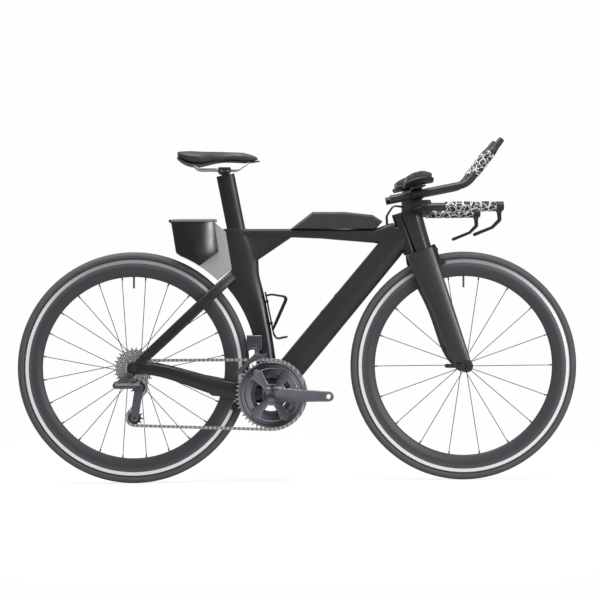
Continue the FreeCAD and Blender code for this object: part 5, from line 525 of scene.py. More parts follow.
def tape_finish(name, colours):
    """Black cork tape, crossed by broken pale strokes at two scales."""
    finish = Finish(name, colours.tape_dark, 0.6)
    uv = finish.add("ShaderNodeUVMap", {"uv_map": "UVMap"}).outputs[0]
    strokes = None
    for pace, width, seed in ((42.0, 0.050, 0.0), (58.0, 0.046, 5.0)):
        moved = finish.add("ShaderNodeMapping", Vector=uv, Location=(seed, seed, 0.0)).outputs[0]
        cells = {"feature": "DISTANCE_TO_EDGE", "voronoi_dimensions": "2D"}
        edge = finish.add("ShaderNodeTexVoronoi", cells, Vector=moved, Scale=pace).outputs["Distance"]
        gaps = finish.between(finish.noise(70.0, 1.0, vector=moved), 0.37, 0.43)
        stroke = finish.times(finish.between(edge, width, width * 0.8), gaps)
        strokes = stroke if strokes is None else finish.math("MAXIMUM", strokes, stroke)
    finish.paint(finish.mix(strokes, colours.tape_dark, colours.tape_pale))
    finish.polish(strokes, 0.0, 1.0, 0.62, 0.48)
    finish.bump(finish.noise(900.0, 3.0), 0.15, 0.0004)
    return finish.material


def skin_finish(name, colour):
    """Saddle skin: fine pebble grain, a little shinier in worn patches."""
    finish = Finish(name, colour, 0.5, Sheen_Weight=0.05)
    pebble = finish.add("ShaderNodeTexVoronoi", Vector=finish.place, Scale=700.0).outputs["Distance"]
    wear = finish.noise(20.0, 4.0)
    finish.tint(wear, colour, 0.85, 1.3)
    finish.polish(wear, 0.3, 0.7, 0.40, 0.58)
    finish.bump(pebble, 0.2, 0.0004)
    return finish.material


def cloth_finish(name, colour):
    """Knit cloth over foam."""
    finish = Finish(name, colour, 0.85, Sheen_Weight=0.25, Sheen_Roughness=0.5)
    rows, columns = (finish.add("ShaderNodeTexWave", {"wave_type": "BANDS", "bands_direction": way},
                                Vector=finish.place, Scale=260.0, Distortion=0.4).outputs["Fac"]
                     for way in "XY")
    knit = finish.times(rows, columns)
    tone = finish.plus(finish.times(knit, 0.5), finish.times(finish.noise(40.0), 0.5))
    finish.tint(tone, colour, 0.7, 1.4)
    finish.bump(knit, 0.3, 0.0004)
    return finish.material


def rubber_finish(name, colour, roughness=0.55):
    """Plain rubber with a dusty bloom, for buttons and cable covers."""
    finish = Finish(name, colour, roughness)
    finish.tint(finish.noise(45.0, 5.0), colour, 0.75, 1.5)
    finish.polish(finish.noise(80.0), 0.3, 0.7, roughness * 0.85, roughness * 1.15)
    finish.grain(1100.0, 0.1)
    return finish.material


def dress(material, *names):
    """Gives CAD nodes a material and smooth shading over their curved faces."""
    for name in names:
        for slot in NODES[name].material_slots:
            slot.material = material
        smooth = NODES[name].modifiers.new("Smooth faces", "NODES")
        smooth.node_group = smooth_tree()


# Geometry node trees

class Tree(NodeBuilder):
    """One Geometry Nodes tree with named inputs."""

    def __init__(self, name, inputs):
        self.group = bpy.data.node_groups.new(name, "GeometryNodeTree")
        super().__init__(self.group)
        face = self.group.interface
        face.new_socket("Geometry", in_out="INPUT", socket_type="NodeSocketGeometry")
        for label, kind, default in inputs:
            socket = face.new_socket(label, in_out="INPUT", socket_type=kind)
            if default is not None:
                socket.default_value = default
        face.new_socket("Geometry", in_out="OUTPUT", socket_type="NodeSocketGeometry")
        self.source = self.add("NodeGroupInput")
        self.result = self.add("NodeGroupOutput")

    def get(self, label):
        return self.source.outputs[label]

    def dressed(self, geometry):
        """Ends the tree with real geometry in the finish that it was given."""
        real = self.add("GeometryNodeRealizeInstances", Geometry=geometry)
        made = self.add("GeometryNodeSetMaterial", Geometry=real, Material=self.get("Finish"))
        return self.end(made)

    def end(self, geometry):
        self.plug(self.result.inputs[0], geometry)
        return self.group


def smooth_tree():
    """Joins a solid's loose triangles and keeps only its real edges sharp."""
    known = bpy.data.node_groups.get("Smooth faces")
    if known:
        return known
    tree = Tree("Smooth faces", [("Edge angle", FLOAT, SHARP_ANGLE),
                                 ("Merge distance", FLOAT, JOIN_DISTANCE)])
    merged = tree.add("GeometryNodeMergeByDistance", Geometry=tree.get("Geometry"),
                      Distance=tree.get("Merge distance"))
    angle = tree.add("GeometryNodeInputMeshEdgeAngle").outputs["Unsigned Angle"]
    sharp = tree.math("GREATER_THAN", angle, tree.get("Edge angle"))
    faces = tree.add("GeometryNodeSetShadeSmooth", Geometry=merged, Shade_Smooth=True)
    edges = tree.add("GeometryNodeSetShadeSmooth", {"domain": "EDGE"}, Geometry=faces, Selection=sharp,
                     Shade_Smooth=False)
    return tree.end(edges)


def baked(name, source, tree, values):
    """Runs a tree on an object and returns its result as a plain mesh object."""
    modifier = source.modifiers.new(tree.name, "NODES")
    modifier.node_group = tree
    for item in tree.interface.items_tree:
        if item.in_out == "INPUT" and item.name in values:
            modifier[item.identifier] = values[item.name]
    shown = source.evaluated_get(bpy.context.evaluated_depsgraph_get())
    mesh = bpy.data.meshes.new_from_object(shown)
    bpy.data.objects.remove(source)
    mesh.name = name
    return linked(name, mesh)


def linked(name, data):
    """New object in the scene."""
    made = bpy.data.objects.new(name, data)
    bpy.context.scene.collection.objects.link(made)
    return made


def points_object(name, points):
    """Mesh of loose points, for a tree to build on."""
    mesh = bpy.data.meshes.new(name)
    mesh.from_pydata([tuple(point) for point in points], [], [])
    return linked(name, mesh)


def nipple_tree():
    """Spoke nipples round a rim, which lean to alternate sides."""
    tree = Tree("Spoke nipples", [
        ("Count", WHOLE, 18), ("Rim radius", FLOAT, 0.263), ("First angle", FLOAT, 0.0),
        ("Side step", FLOAT, 0.0016), ("Length", FLOAT, 0.009), ("Radius", FLOAT, 0.002),
        ("Axle", VECTOR, None), ("Finish", MATERIAL, None)])
    index = tree.add("GeometryNodeInputIndex")
    points = tree.add("GeometryNodePoints", Count=tree.get("Count"))
    angle = tree.plus(tree.math("DIVIDE", tree.times(index, ROUND), tree.get("Count")),
                      tree.get("First angle"))
    reach = tree.math("SUBTRACT", tree.get("Rim radius"), tree.times(tree.get("Length"), 0.4))
    way = tree.add("ShaderNodeCombineXYZ", X=tree.math("COSINE", angle), Z=tree.math("SINE", angle))
    lean = tree.math("SUBTRACT", 1.0, tree.times(tree.math("MODULO", index, 2.0), 2.0))
    aside = tree.add("ShaderNodeCombineXYZ", Y=tree.times(lean, tree.get("Side step")))
    spot = tree.vector("ADD", tree.vector("SCALE", way, reach), aside)
    place = tree.vector("ADD", spot, tree.get("Axle"))
    set_place = tree.add("GeometryNodeSetPosition", Geometry=points, Position=place)
    turn = tree.add("FunctionNodeAlignRotationToVector", {"axis": "Z"}, Vector=way)
    body = tree.add("GeometryNodeMeshCylinder", Vertices=10, Radius=tree.get("Radius"),
                    Depth=tree.get("Length"))
    placed = tree.add("GeometryNodeInstanceOnPoints", Points=set_place, Instance=body.outputs["Mesh"],
                      Rotation=turn)
    return tree.dressed(placed)


def winding_tree():
    """Tape wound along a bar, with an overlapping edge that climbs once per turn."""
    tree = Tree("Wound tape", [
        ("Bar radius", FLOAT, 0.0142), ("Pitch", FLOAT, 0.021), ("Edge", FLOAT, 0.0008),
        ("Rings", WHOLE, 260), ("Sides", WHOLE, 56), ("Finish", MATERIAL, None)])
    even = tree.add("GeometryNodeResampleCurve", Curve=tree.get("Geometry"), Count=tree.get("Rings"))
    along = tree.add("GeometryNodeSplineParameter").outputs["Length"]
    first = tree.add("GeometryNodeCaptureAttribute", {"domain": "POINT"}, Geometry=even)
    first.capture_items.new("FLOAT", "Along")
    tree.plug(first.inputs[1], along)
    ring = tree.add("GeometryNodeCurvePrimitiveCircle", {"mode": "RADIUS"}, Resolution=tree.get("Sides"),
                    Radius=tree.get("Bar radius"))
    share = tree.add("GeometryNodeSplineParameter").outputs["Factor"]
    second = tree.add("GeometryNodeCaptureAttribute", {"domain": "POINT"}, Geometry=ring)
    second.capture_items.new("FLOAT", "Round")
    tree.plug(second.inputs[1], share)
    skin = tree.add("GeometryNodeCurveToMesh", Curve=first, Profile_Curve=second, Fill_Caps=True)
    turns = tree.math("DIVIDE", first.outputs[1], tree.get("Pitch"))
    wound = tree.math("FRACT", tree.math("SUBTRACT", turns, second.outputs[1]))
    normal = tree.add("GeometryNodeInputNormal")
    raised = tree.vector("SCALE", normal, tree.times(wound, tree.get("Edge")))
    shaped = tree.add("GeometryNodeSetPosition", Geometry=skin, Offset=raised)
    girth = tree.times(second.outputs[1], tree.times(tree.get("Bar radius"), ROUND))
    spread = tree.add("ShaderNodeCombineXYZ", X=first.outputs[1], Y=girth)
    stored = tree.add("GeometryNodeStoreNamedAttribute", {"data_type": "FLOAT2", "domain": "CORNER"},
                      Geometry=shaped, Name="UVMap", Value=spread)
    smooth = tree.add("GeometryNodeSetShadeSmooth", Geometry=stored, Shade_Smooth=True)
    return tree.dressed(smooth)


def bolt_tree():
    """Socket-head bolts on points that carry their own way and size."""
    tree = Tree("Socket bolts", [("Head", THING, None), ("Finish", MATERIAL, None)])
    head = tree.add("GeometryNodeObjectInfo", Object=tree.get("Head")).outputs["Geometry"]
    way = tree.add("GeometryNodeInputNamedAttribute", {"data_type": "FLOAT_VECTOR"}, Name="way")
    size = tree.add("GeometryNodeInputNamedAttribute", {"data_type": "FLOAT"}, Name="size")
    turn = tree.add("FunctionNodeAlignRotationToVector", {"axis": "Z"}, Vector=way)
    points = tree.add("GeometryNodeMeshToPoints", Mesh=tree.get("Geometry"))
    scale = tree.add("ShaderNodeCombineXYZ", X=size, Y=size, Z=size)
    placed = tree.add("GeometryNodeInstanceOnPoints", Points=points, Instance=head, Rotation=turn,
                      Scale=scale)
    return tree.dressed(placed)


# Mesh helpers

def around(radius, step, sides):
    """Point on a circle, by its step."""
    angle = ROUND * step / sides
    return radius * math.cos(angle), radius * math.sin(angle)


def lathe(mesh, profile, sides):
    """Turned wall about local Z, from (radius, height) pairs."""
    rows = [[mesh.verts.new((*around(radius, step, sides), height)) for step in range(sides)]
            for radius, height in profile]
    for low, high in zip(rows, rows[1:]):
        for step in range(sides):
            following = (step + 1) % sides
            mesh.faces.new((low[step], low[following], high[following], high[step]))


def from_shape(name, shape):
    """Object with a mesh of its own from an edited shape."""
    bmesh.ops.recalc_face_normals(shape, faces=shape.faces)
    mesh = bpy.data.meshes.new(name)
    shape.to_mesh(mesh)
    shape.free()
    return linked(name, mesh)


def bolt_head():
    """Unit bolt head of radius 1: a rounded rim with a six-sided socket."""
    shape = bmesh.new()
    sides = 24
    lathe(shape, [(1.0, -0.5), (1.0, 0.35), (0.9, 0.5), (0.62, 0.5)], sides)
    rim = sorted((vert for vert in shape.verts if abs(vert.co.z - 0.5) < 1e-6 and vert.co.length < 0.85),
                 key=lambda vert: math.atan2(vert.co.y, vert.co.x))
    low = []
    for vert in rim:
        angle = math.atan2(vert.co.y, vert.co.x)
        sixth = ROUND / 6
        reach = 0.5 * math.cos(sixth / 2) / math.cos((angle % sixth) - sixth / 2)
        vert.co = (reach * math.cos(angle), reach * math.sin(angle), 0.46)
        low.append(shape.verts.new((vert.co.x, vert.co.y, 0.0)))
    for step, vert in enumerate(rim):
        following = (step + 1) % len(rim)
        shape.faces.new((vert, rim[following], low[following], low[step]))
    shape.faces.new(low)
    return from_shape("bolt_head", shape)


def merged_copy(node, name):
    """Copy of a CAD node's mesh with its loose triangles joined."""
    shape = bmesh.new()
    shape.from_mesh(NODES[node].data)
    bmesh.ops.remove_doubles(shape, verts=shape.verts, dist=1e-5)
    return from_shape(name, shape)


def applied(piece, kind, **settings):
    """Adds a modifier, sets it and makes its result the piece's own mesh."""
    modifier = piece.modifiers.new(kind.title(), kind)
    for key, value in settings.items():
        setattr(modifier, key, value)
    keep(piece)


def coat(piece, material):
    """Gives a made piece one material."""
    piece.data.materials.clear()
    piece.data.materials.append(material)


def round_faces(piece):
    """Smooth shading over a made piece."""
    for face in piece.data.polygons:
        face.use_smooth = True


def keep(piece):
    """Makes the evaluated mesh the piece's own and removes its modifiers."""
    shown = piece.evaluated_get(bpy.context.evaluated_depsgraph_get())
    old = piece.data
    mesh = bpy.data.meshes.new_from_object(shown)
    piece.modifiers.clear()
    piece.data = mesh
    bpy.data.meshes.remove(old)


def fill(piece, cap):
    """Swells a pad with a short cloth run; no point moves further than the cap."""
    rest = [vert.co.copy() for vert in piece.data.vertices]
    cloth = piece.modifiers.new("Cloth", "CLOTH")
    cloth.settings.use_pressure = True
    cloth.settings.uniform_pressure_force = FILL_PRESSURE
    cloth.settings.effector_weights.gravity = 0.0
    cloth.settings.quality = 6
    cloth.point_cache.frame_start = 1
    cloth.point_cache.frame_end = FILL_FRAMES
    scene = bpy.context.scene
    for step in range(1, FILL_FRAMES + 1):
        scene.frame_set(step)
    keep(piece)
    scene.frame_set(1)
    for vert, start in zip(piece.data.vertices, rest):
        move = vert.co - start
        if move.length > cap:
            vert.co = start + move * (cap / move.length)


def cushion(node, name, sizes):
    """Padded piece over a CAD soft solid: a little smaller, remeshed, filled and smoothed."""
    piece = merged_copy(node, name)
    applied(piece, "REMESH", mode="VOXEL", voxel_size=sizes.pad_voxel)
    applied(piece, "DISPLACE", strength=-PAD_INSET, mid_level=0.0)
    applied(piece, "SMOOTH", factor=0.5, iterations=6)
    fill(piece, sizes.pad_swell)
    applied(piece, "SMOOTH", factor=0.5, iterations=3)
    applied(piece, "SUBSURF", levels=1, render_levels=1)
    round_faces(piece)
    return piece


def cast(material, *names, grain=0.0011, fillet=0.003, rounds=6):
    """Rounded castings over CAD nodes: the same forms with filled corners and soft edges."""
    for name in names:
        node = NODES[name]
        piece = merged_copy(name, f"{name}_cast")
        applied(piece, "REMESH", mode="VOXEL", voxel_size=grain)
        applied(piece, "DISPLACE", strength=fillet, mid_level=0.0)
        applied(piece, "REMESH", mode="VOXEL", voxel_size=grain)
        applied(piece, "DISPLACE", strength=-fillet, mid_level=0.0)
        applied(piece, "SMOOTH", factor=0.5, iterations=rounds)
        coat(piece, material)
        round_faces(piece)
        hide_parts(name)
        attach(piece, body_of(node)[0])


def raised_nose():
    """Nose cone whose top follows the stem's level underside, instead of the steering axis."""
    piece = merged_copy("nose_cone", "nose_cowl")
    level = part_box("base_bar")[0][2] - NOSE_GAP
    places = [vert.co.dot(STEER_WAY) for vert in piece.data.vertices]
    top = max(places)
    for vert, place in zip(piece.data.vertices, places):
        share = min(max(1.0 - (top - place) / NOSE_EASE, 0.0), 1.0)
        lift = max(level - (vert.co + STEER_WAY * (top - place)).z, 0.0) / STEER_WAY.z
        vert.co += STEER_WAY * (lift * share)
    return piece


def cockpit(ahead, side, rise):
    """Place measured from the base of the cockpit, in metres."""
    return COCKPIT + Vector((ahead, side, rise))


# Operators

class BIKE_OT_frame(bpy.types.Operator):
    """Paint the frame, fork, seatpost and bars, and raise the top of the nose cone"""
    bl_idname = "bike.frame"
    bl_label = "Frame and bars"

    def execute(self, context):
        colours = context.scene.bike_colours
        dress(frame_finish("frame_paint", colours.frame, 0.42), "main_frame", "chain_stays", "seat_stays")
        paint = painted("fork_paint", colours.fork, 0.36, coat=0.3, coat_roughness=0.2)
        dress(paint, "fork")
        nose = raised_nose()
        coat(nose, paint)
        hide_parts("nose_cone")
        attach(nose, "steering")
        dress(painted("post_paint", shade(colours.frame, 0.8), 0.34), "seatpost")
        dress(painted("bar_paint", shade(colours.fork, 0.9), 0.38), "stem_riser", "base_bar",
              "extension_bars")
        dress(brushed("bearing_steel", shade(colours.steel, 0.6), 0.35), "frame_bearings")
        return {"FINISHED"}


class BIKE_OT_wheels(bpy.types.Operator):
    """Finish the wheels and add the spoke nipples"""
    bl_idname = "bike.wheels"
    bl_label = "Wheels"

    def execute(self, context):
        colours = context.scene.bike_colours
        sizes = context.scene.bike_sizes
        spoke = painted("spoke_black", (0.02, 0.02, 0.022), 0.35)
        hub = painted("hub_black", (0.018, 0.018, 0.02), 0.28)
        nipple = brushed("nipple_black", (0.07, 0.07, 0.075), 0.3)
        tree = nipple_tree()
        for end, axle, count, first in (("front", FRONT_AXLE, 18, 0.0),
                                        ("rear", REAR_AXLE, 24, math.radians(7.5))):
            dress(tyre_finish(f"{end}_tyre_rubber", colours.tyre, axle), f"{end}_tyre")
            dress(rim_finish(f"{end}_rim_carbon", colours, axle), f"{end}_rim")
            dress(spoke, f"{end}_spokes")
            dress(hub, f"{end}_hub")
            piece = baked(f"{end}_nipples", points_object("seed", [axle]), tree, {
                "Count": count, "First angle": first, "Length": sizes.nipple_length,
                "Radius": sizes.nipple_radius, "Axle": axle, "Finish": nipple})
            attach(piece, f"{end}_wheel")
        dress(hub, "front_skewer", "front_skewer_lever", "rear_skewer", "rear_skewer_lever")
        return {"FINISHED"}


class BIKE_OT_drive(bpy.types.Operator):
    """Finish the chain, sprockets, cranks, gears and brakes"""
    bl_idname = "bike.drive"
    bl_label = "Drive"

    def execute(self, context):
        colours = context.scene.bike_colours
        dress(sprocket_finish("sprocket_steel", colours.steel, REAR_AXLE, SPROCKET_STEP, SPROCKET_TEETH),
              "cassette")
        dress(chain_finish("chain_steel", colours.steel, CHAIN_PITCH), "chain")
        crank = crank_finish("crank_grey", shade(colours.gunmetal, 0.6), CRANK_AXIS)
        cast(crank, "crank_right", "crank_left", fillet=0.005)
        shell = spider_shell(crank)
        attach(shell, "crank")
        dress(ring_finish("ring_grey", colours, CRANK_AXIS), "chainring_outer")
        dress(brushed("ring_black", shade(colours.gunmetal, 0.5), 0.35), "chainring_inner")
        cast(painted("gear_grey", shade(colours.gunmetal, 0.35), 0.5), "rd_bracket", "rd_link",
             "rd_knuckle", grain=0.0008, fillet=0.002)
        cast(anodised("shifter_grey", shade(colours.gunmetal, 0.5), 0.24), "front_derailleur",
             grain=0.0008)
        dress(anodised("cage_grey", shade(colours.gunmetal, 0.7), 0.25), "rd_cage",
              "front_derailleur_cage")
        dress(painted("gear_black", colours.plastic, 0.35), "derailleur_hanger", "front_brake_left",
              "front_brake_right", "rear_brake_left", "rear_brake_right")
        dress(moulded("pulley_black", colours.plastic, 0.5), "guide_pulley", "tension_pulley")
        return {"FINISHED"}


def spider_shell(material):
    """Broad four-armed shell over the spider, with rounded windows between its arms."""
    shape = bmesh.new()
    rings, spokes = 24, 240
    low, high, face = 0.018, 0.080, -0.0588
    # Middle and half width in degrees, then inner and outer radius
    windows = ((178.0, 37.0, 0.032, 0.071), (89.5, 22.0, 0.034, 0.071), (-93.5, 22.0, 0.034, 0.071),
               (32.0, 9.0, 0.046, 0.071), (-36.0, 9.0, 0.046, 0.071))
    grid = []
    for ring in range(rings + 1):
        radius = low + (high - low) * ring / rings
        points = [around(radius, step, spokes) for step in range(spokes)]
        grid.append([shape.verts.new((CRANK_AXIS.x + x, face, CRANK_AXIS.z + z)) for x, z in points])
    for ring in range(rings):
        radius = low + (high - low) * (ring + 0.5) / rings
        for step in range(spokes):
            degrees = 360.0 * (step + 0.5) / spokes
            if any(start < radius < end and abs((degrees - middle + 180.0) % 360.0 - 180.0) < half
                   for middle, half, start, end in windows):
                continue
            following = (step + 1) % spokes
            shape.faces.new((grid[ring][step], grid[ring][following], grid[ring + 1][following],
                             grid[ring + 1][step]))
    bmesh.ops.delete(shape, geom=[vert for vert in shape.verts if not vert.link_faces], context="VERTS")
    piece = from_shape("spider_shell", shape)
    applied(piece, "SMOOTH", factor=0.5, iterations=10, use_y=False)
    applied(piece, "SOLIDIFY", thickness=0.005, offset=0.0)
    applied(piece, "SMOOTH", factor=0.5, iterations=5)
    applied(piece, "SUBSURF", levels=1, render_levels=1)
    coat(piece, material)
    round_faces(piece)
    return piece


class BIKE_OT_controls(bpy.types.Operator):
    """Finish the levers, shifters and arm cups"""
    bl_idname = "bike.controls"
    bl_label = "Controls"

    def execute(self, context):
        colours = context.scene.bike_colours
        dress(painted("lever_black", shade(colours.plastic, 0.8), 0.3), "brake_lever_left",
              "brake_lever_right")
        dress(moulded("control_black", colours.plastic, 0.45), "control_bodies", "pad_cups")
        dress(rubber_finish("button_grey", (0.05, 0.05, 0.055)), "shift_button_left",
              "shift_button_right")
        return {"FINISHED"}


class BIKE_OT_storage(bpy.types.Operator):
    """Finish the boxes and the bottle cage"""
    bl_idname = "bike.storage"
    bl_label = "Storage"

    def execute(self, context):
        colours = context.scene.bike_colours
        dress(gloss_finish("box_gloss", colours.gloss), "tail_box_shell")
        # Painted highlight: the lid is grey, far lighter than the black box, in place of the light along the
        # box's top rim
        dress(painted("lid_painted_highlight", (0.16, 0.16, 0.165), 0.22, coat=0.8), "tail_box_lid")
        # Painted reflection: the bracket is light grey in place of the white backdrop reflected in the
        # glossy black box's tapered front
        dress(painted("bracket_painted_reflection", (0.34, 0.343, 0.35), 0.18, coat=0.8), "tail_box_bracket")
        dress(gloss_finish("cage_gloss", colours.gloss), "bottle_cage")
        dress(moulded("top_box_grey", (0.020, 0.021, 0.024), 0.5), "top_tube_box")
        dress(brushed("bolt_black", (0.06, 0.06, 0.065), 0.3), "cage_bolts")
        return {"FINISHED"}


class BIKE_OT_saddle(bpy.types.Operator):
    """Pad the saddle and finish its base, rails and clamp"""
    bl_idname = "bike.saddle"
    bl_label = "Saddle"

    def execute(self, context):
        colours = context.scene.bike_colours
        sizes = context.scene.bike_sizes
        piece = cushion("saddle_cover", "saddle_skin", sizes)
        coat(piece, skin_finish("saddle_skin", colours.saddle))
        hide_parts("saddle_cover")
        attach(piece, "saddle")
        dress(moulded("saddle_shell", colours.plastic, 0.45), "saddle_base")
        dress(brushed("rail_steel", shade(colours.steel, 0.8), 0.3, along=(1, 0, 0)), "saddle_rails")
        cast(anodised("clamp_black", shade(colours.gunmetal, 0.25), 0.25), "saddle_clamp", grain=0.0007,
             fillet=0.001)
        return {"FINISHED"}


class BIKE_OT_arm_pads(bpy.types.Operator):
    """Pad the arm rests"""
    bl_idname = "bike.arm_pads"
    bl_label = "Arm pads"

    def execute(self, context):
        colours = context.scene.bike_colours
        sizes = context.scene.bike_sizes
        piece = cushion("arm_pads", "arm_pad_foam", sizes)
        for vert in piece.data.vertices:
            vert.co.z += sizes.pad_crown * min(max(2.0 * vert.normal.z, 0.0), 1.0)
        coat(piece, cloth_finish("arm_pad_cloth", colours.foam))
        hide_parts("arm_pads")
        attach(piece, "steering")
        return {"FINISHED"}


class BIKE_OT_bar_tape(bpy.types.Operator):
    """Wind the tape on the horns and the extensions"""
    bl_idname = "bike.bar_tape"
    bl_label = "Bar tape"

    def execute(self, context):
        colours = context.scene.bike_colours
        sizes = context.scene.bike_sizes
        material = tape_finish("bar_tape", colours)
        tree = winding_tree()
        turns = []
        for side in (-1, 1):
            start, end = (cockpit(ahead, HORN_SIDE * side, rise) for ahead, rise in HORN_TAPE)
            turns.append((start, end, HORN_RADIUS))
            knee, tip = (cockpit(ahead, EXTENSION_SIDE * side, rise) for ahead, rise in EXTENSION_LINE)
            turns.append((tip - (tip - knee).normalized() * EXTENSION_TAPE, tip, EXTENSION_RADIUS))
        pieces = []
        for number, (start, end, radius) in enumerate(turns):
            line = bpy.data.curves.new("bar line", "CURVE")
            line.dimensions = "3D"
            spline = line.splines.new("POLY")
            spline.points.add(1)
            spline.points[0].co = (*start, 1.0)
            spline.points[1].co = (*end, 1.0)
            pieces.append(baked(f"bar_tape_{number}", linked("bar line", line), tree, {
                "Bar radius": radius, "Pitch": sizes.tape_pitch, "Edge": sizes.tape_step,
                "Finish": material}))
        for piece in pieces:
            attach(piece, "steering")
            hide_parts("bar_tape")
        return {"FINISHED"}


class BIKE_OT_cables(bpy.types.Operator):
    """Cover the cables and let them bend with the steering"""
    bl_idname = "bike.cables"
    bl_label = "Cables"

    def execute(self, context):
        piece = merged_copy("cables", "cable_covers")
        coat(piece, rubber_finish("cable_cover", (0.014, 0.014, 0.015), 0.4))
        round_faces(piece)
        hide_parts("cables")
        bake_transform(piece, "frame", "steering", cockpit(-0.036, 0.0, -0.02), cockpit(-0.012, 0.0, 0.030))
        return {"FINISHED"}


class BIKE_OT_bolts(bpy.types.Operator):
    """Add the socket bolts"""
    bl_idname = "bike.bolts"
    bl_label = "Bolts"

    def execute(self, context):
        material = brushed("bolt_steel", (0.10, 0.10, 0.105), 0.28)
        head = bolt_head()
        tree = bolt_tree()
        right = Vector((0.0, -1.0, 0.0))
        ahead = Vector((1.0, 0.0, 0.0))
        brake_pivot = Vector((0.401297, 0.0, 0.677770))
        ring_face, ring_reach = -0.0592, 0.055
        ring_spots = [CRANK_AXIS + Vector((math.cos(angle), 0.0, math.sin(angle))) * ring_reach
                      for angle in (math.radians(degrees) for degrees in (55.0, -59.0, 124.0, -128.0))]
        # Place, way and head radius of each bolt, by the body that it rides
        spots = {
            "crank": [(Vector((CRANK_AXIS.x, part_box("crank_right")[0].y, CRANK_AXIS.z)), right, 0.009)]
            + [(Vector((spot.x, ring_face, spot.z)), right, 0.0042) for spot in ring_spots],
            "steering": [(cockpit(0.092, side * 0.017, rise), ahead, 0.0035)
                         for side in (-1, 1) for rise in (0.012, 0.040)]
            + [(brake_pivot + Vector((0.0, side * 0.021, 0.0)), STEER_AHEAD, 0.005) for side in (-1, 1)],
            "frame": [(Vector((-0.4935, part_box("rd_bracket")[0].y, 0.314)), right, 0.0058),
                      (Vector((-0.135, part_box("front_derailleur")[0].y, 0.414)), right, 0.004)],
            "rd_knuckle": [(Vector((-0.468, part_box("rd_knuckle")[0].y, 0.281)), right, 0.0048)],
            "rd_cage": [(Vector((-0.481487, -0.0650, 0.194040)), right, 0.0042)],
        }
        for body, places in spots.items():
            seed = points_object("bolt places", [place for place, way, size in places])
            ways = seed.data.attributes.new("way", "FLOAT_VECTOR", "POINT")
            ways.data.foreach_set("vector", [axis for place, way, size in places for axis in way])
            scales = seed.data.attributes.new("size", "FLOAT", "POINT")
            scales.data.foreach_set("value", [size for place, way, size in places])
            piece = baked(f"bolts_{body}", seed, tree, {"Head": head, "Finish": material})
            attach(piece, body)
        bpy.data.objects.remove(head)
        return {"FINISHED"}


def stage_builder(owner):
    """Empty node tree of a stage material or world."""
    owner.use_nodes = True
    owner.node_tree.nodes.clear()
    return NodeBuilder(owner.node_tree)


def pale_floor():
    """Floor that is white to the camera, takes the bike's shadow and fades to plain white further out."""
    material = bpy.data.materials.new("pale_floor")
    stage = stage_builder(material)
    camera = stage.add("ShaderNodeLightPath").outputs["Is Camera Ray"]
    grey = stage.add("ShaderNodeBsdfDiffuse", Color=(0.30, 0.30, 0.305, 1.0))
    glow = stage.add("ShaderNodeEmission", Strength=PAPER_WHITE - 0.24)
    near = stage.fed(stage.add("ShaderNodeAddShader"), grey, glow)
    far = stage.add("ShaderNodeEmission", Strength=PAPER_WHITE)
    reach = stage.length(stage.add("ShaderNodeTexCoord").outputs["Object"])
    seen = stage.blend(stage.between(reach, 0.7, 1.9), near, far)
    bounce = stage.add("ShaderNodeBsdfDiffuse", Color=(0.55, 0.55, 0.55, 1.0))
    stage.add("ShaderNodeOutputMaterial", Surface=stage.blend(camera, bounce, seen))
    return material


def studio_world():
    """White to the camera, and a dimmer room as light and in reflections."""
    world = bpy.data.worlds.new("studio")
    bpy.context.scene.world = world
    stage = stage_builder(world)
    camera = stage.add("ShaderNodeLightPath").outputs["Is Camera Ray"]
    plain = (1.0, 1.0, 1.0, 1.0)
    room, paper = (stage.add("ShaderNodeBackground", Color=plain, Strength=strength)
                   for strength in (ROOM_LIGHT, PAPER_WHITE))
    stage.add("ShaderNodeOutputWorld", Surface=stage.blend(camera, room, paper))


def softbox(name, place, target, width, height, power):
    """Rectangular lamp at a place, turned to a target."""
    light = bpy.data.lights.new(name, "AREA")
    light.shape = "RECTANGLE"
    light.size = width
    light.size_y = height
    light.energy = power
    made = linked(name, light)
    made.location = place
    made.rotation_euler = (Vector(target) - Vector(place)).to_track_quat("-Z", "Y").to_euler()


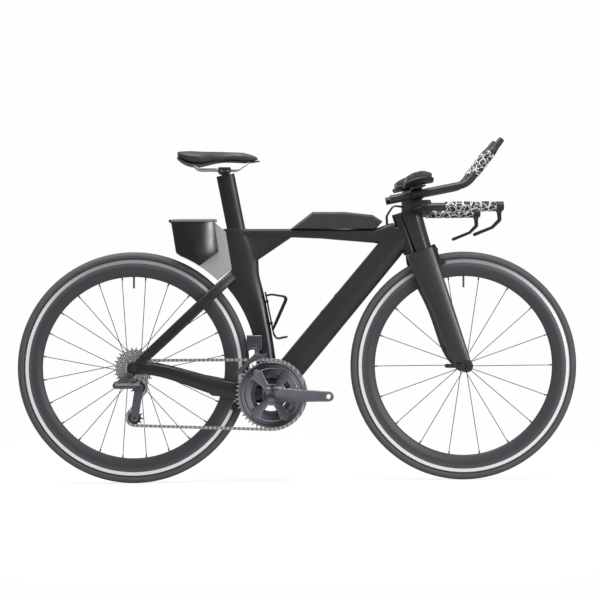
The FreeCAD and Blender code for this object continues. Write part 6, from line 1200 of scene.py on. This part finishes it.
class BIKE_OT_stage(bpy.types.Operator):
    """Set up the floor, the lights and the camera"""
    bl_idname = "bike.stage"
    bl_label = "Stage"

    def execute(self, context):
        floor = bpy.data.meshes.new("floor")
        corners = [(x * FLOOR_REACH, y * FLOOR_REACH, 0) for x, y in ((-1, -1), (1, -1), (1, 1), (-1, 1))]
        floor.from_pydata(corners, [], [(0, 1, 2, 3)])
        floor.materials.append(pale_floor())
        ground = linked("floor", floor)
        ground.location.z = -FLOOR_DROP
        studio_world()
        softbox("top_light", (-0.3, -0.6, 3.2), (0, 0, 0.4), 3.4, 1.6, 120.0)
        softbox("side_light", (2.8, -3.0, 1.6), (0, 0, 0.5), 1.2, 2.0, 60.0)
        softbox("window_light", (-0.17, -5.2, 0.93), (-0.3, 0, 0.75), 0.025, 0.22, 0.35)
        camera = bpy.data.cameras.new("camera")
        camera.lens = CAMERA_LENS
        camera.sensor_width = CAMERA_SENSOR
        camera.clip_end = 200.0
        made = linked("camera", camera)
        level = Matrix.Rotation(-CAMERA_YAW, 4, "Z") @ Matrix.Rotation(math.radians(90.0), 4, "X")
        turn = level @ Matrix.Rotation(CAMERA_ROLL, 4, "Z")
        made.matrix_world = Matrix.Translation(CAMERA_PLACE) @ turn
        context.scene.camera = made
        context.scene.view_settings.view_transform = "Standard"
        return {"FINISHED"}


class BIKE_PT_sidebar(bpy.types.Panel):
    """Lists the bike's operators and settings"""
    bl_idname = "BIKE_PT_sidebar"
    bl_label = "Time trial bike"
    bl_space_type = "VIEW_3D"
    bl_region_type = "UI"
    bl_category = "Bike"

    def draw(self, context):
        for operator in OPERATORS:
            self.layout.operator(operator.bl_idname)
        for group in (context.scene.bike_colours, context.scene.bike_sizes):
            for name in group.__annotations__:
                self.layout.prop(group, name)


OPERATORS = (BIKE_OT_stage, BIKE_OT_frame, BIKE_OT_wheels, BIKE_OT_drive, BIKE_OT_controls,
             BIKE_OT_storage, BIKE_OT_saddle, BIKE_OT_arm_pads, BIKE_OT_bar_tape, BIKE_OT_cables,
             BIKE_OT_bolts)
CLASSES = (BikeColours, BikeSizes, *OPERATORS, BIKE_PT_sidebar)


def register():
    for item in CLASSES:
        bpy.utils.register_class(item)
    bpy.types.Scene.bike_colours = bpy.props.PointerProperty(type=BikeColours)
    bpy.types.Scene.bike_sizes = bpy.props.PointerProperty(type=BikeSizes)


def unregister():
    del bpy.types.Scene.bike_sizes
    del bpy.types.Scene.bike_colours
    for item in reversed(CLASSES):
        bpy.utils.unregister_class(item)


def main():
    register()
    for operator in OPERATORS:
        name = operator.bl_idname.split(".")[1]
        getattr(bpy.ops.bike, name)()


if __name__ == "__main__":
    main()
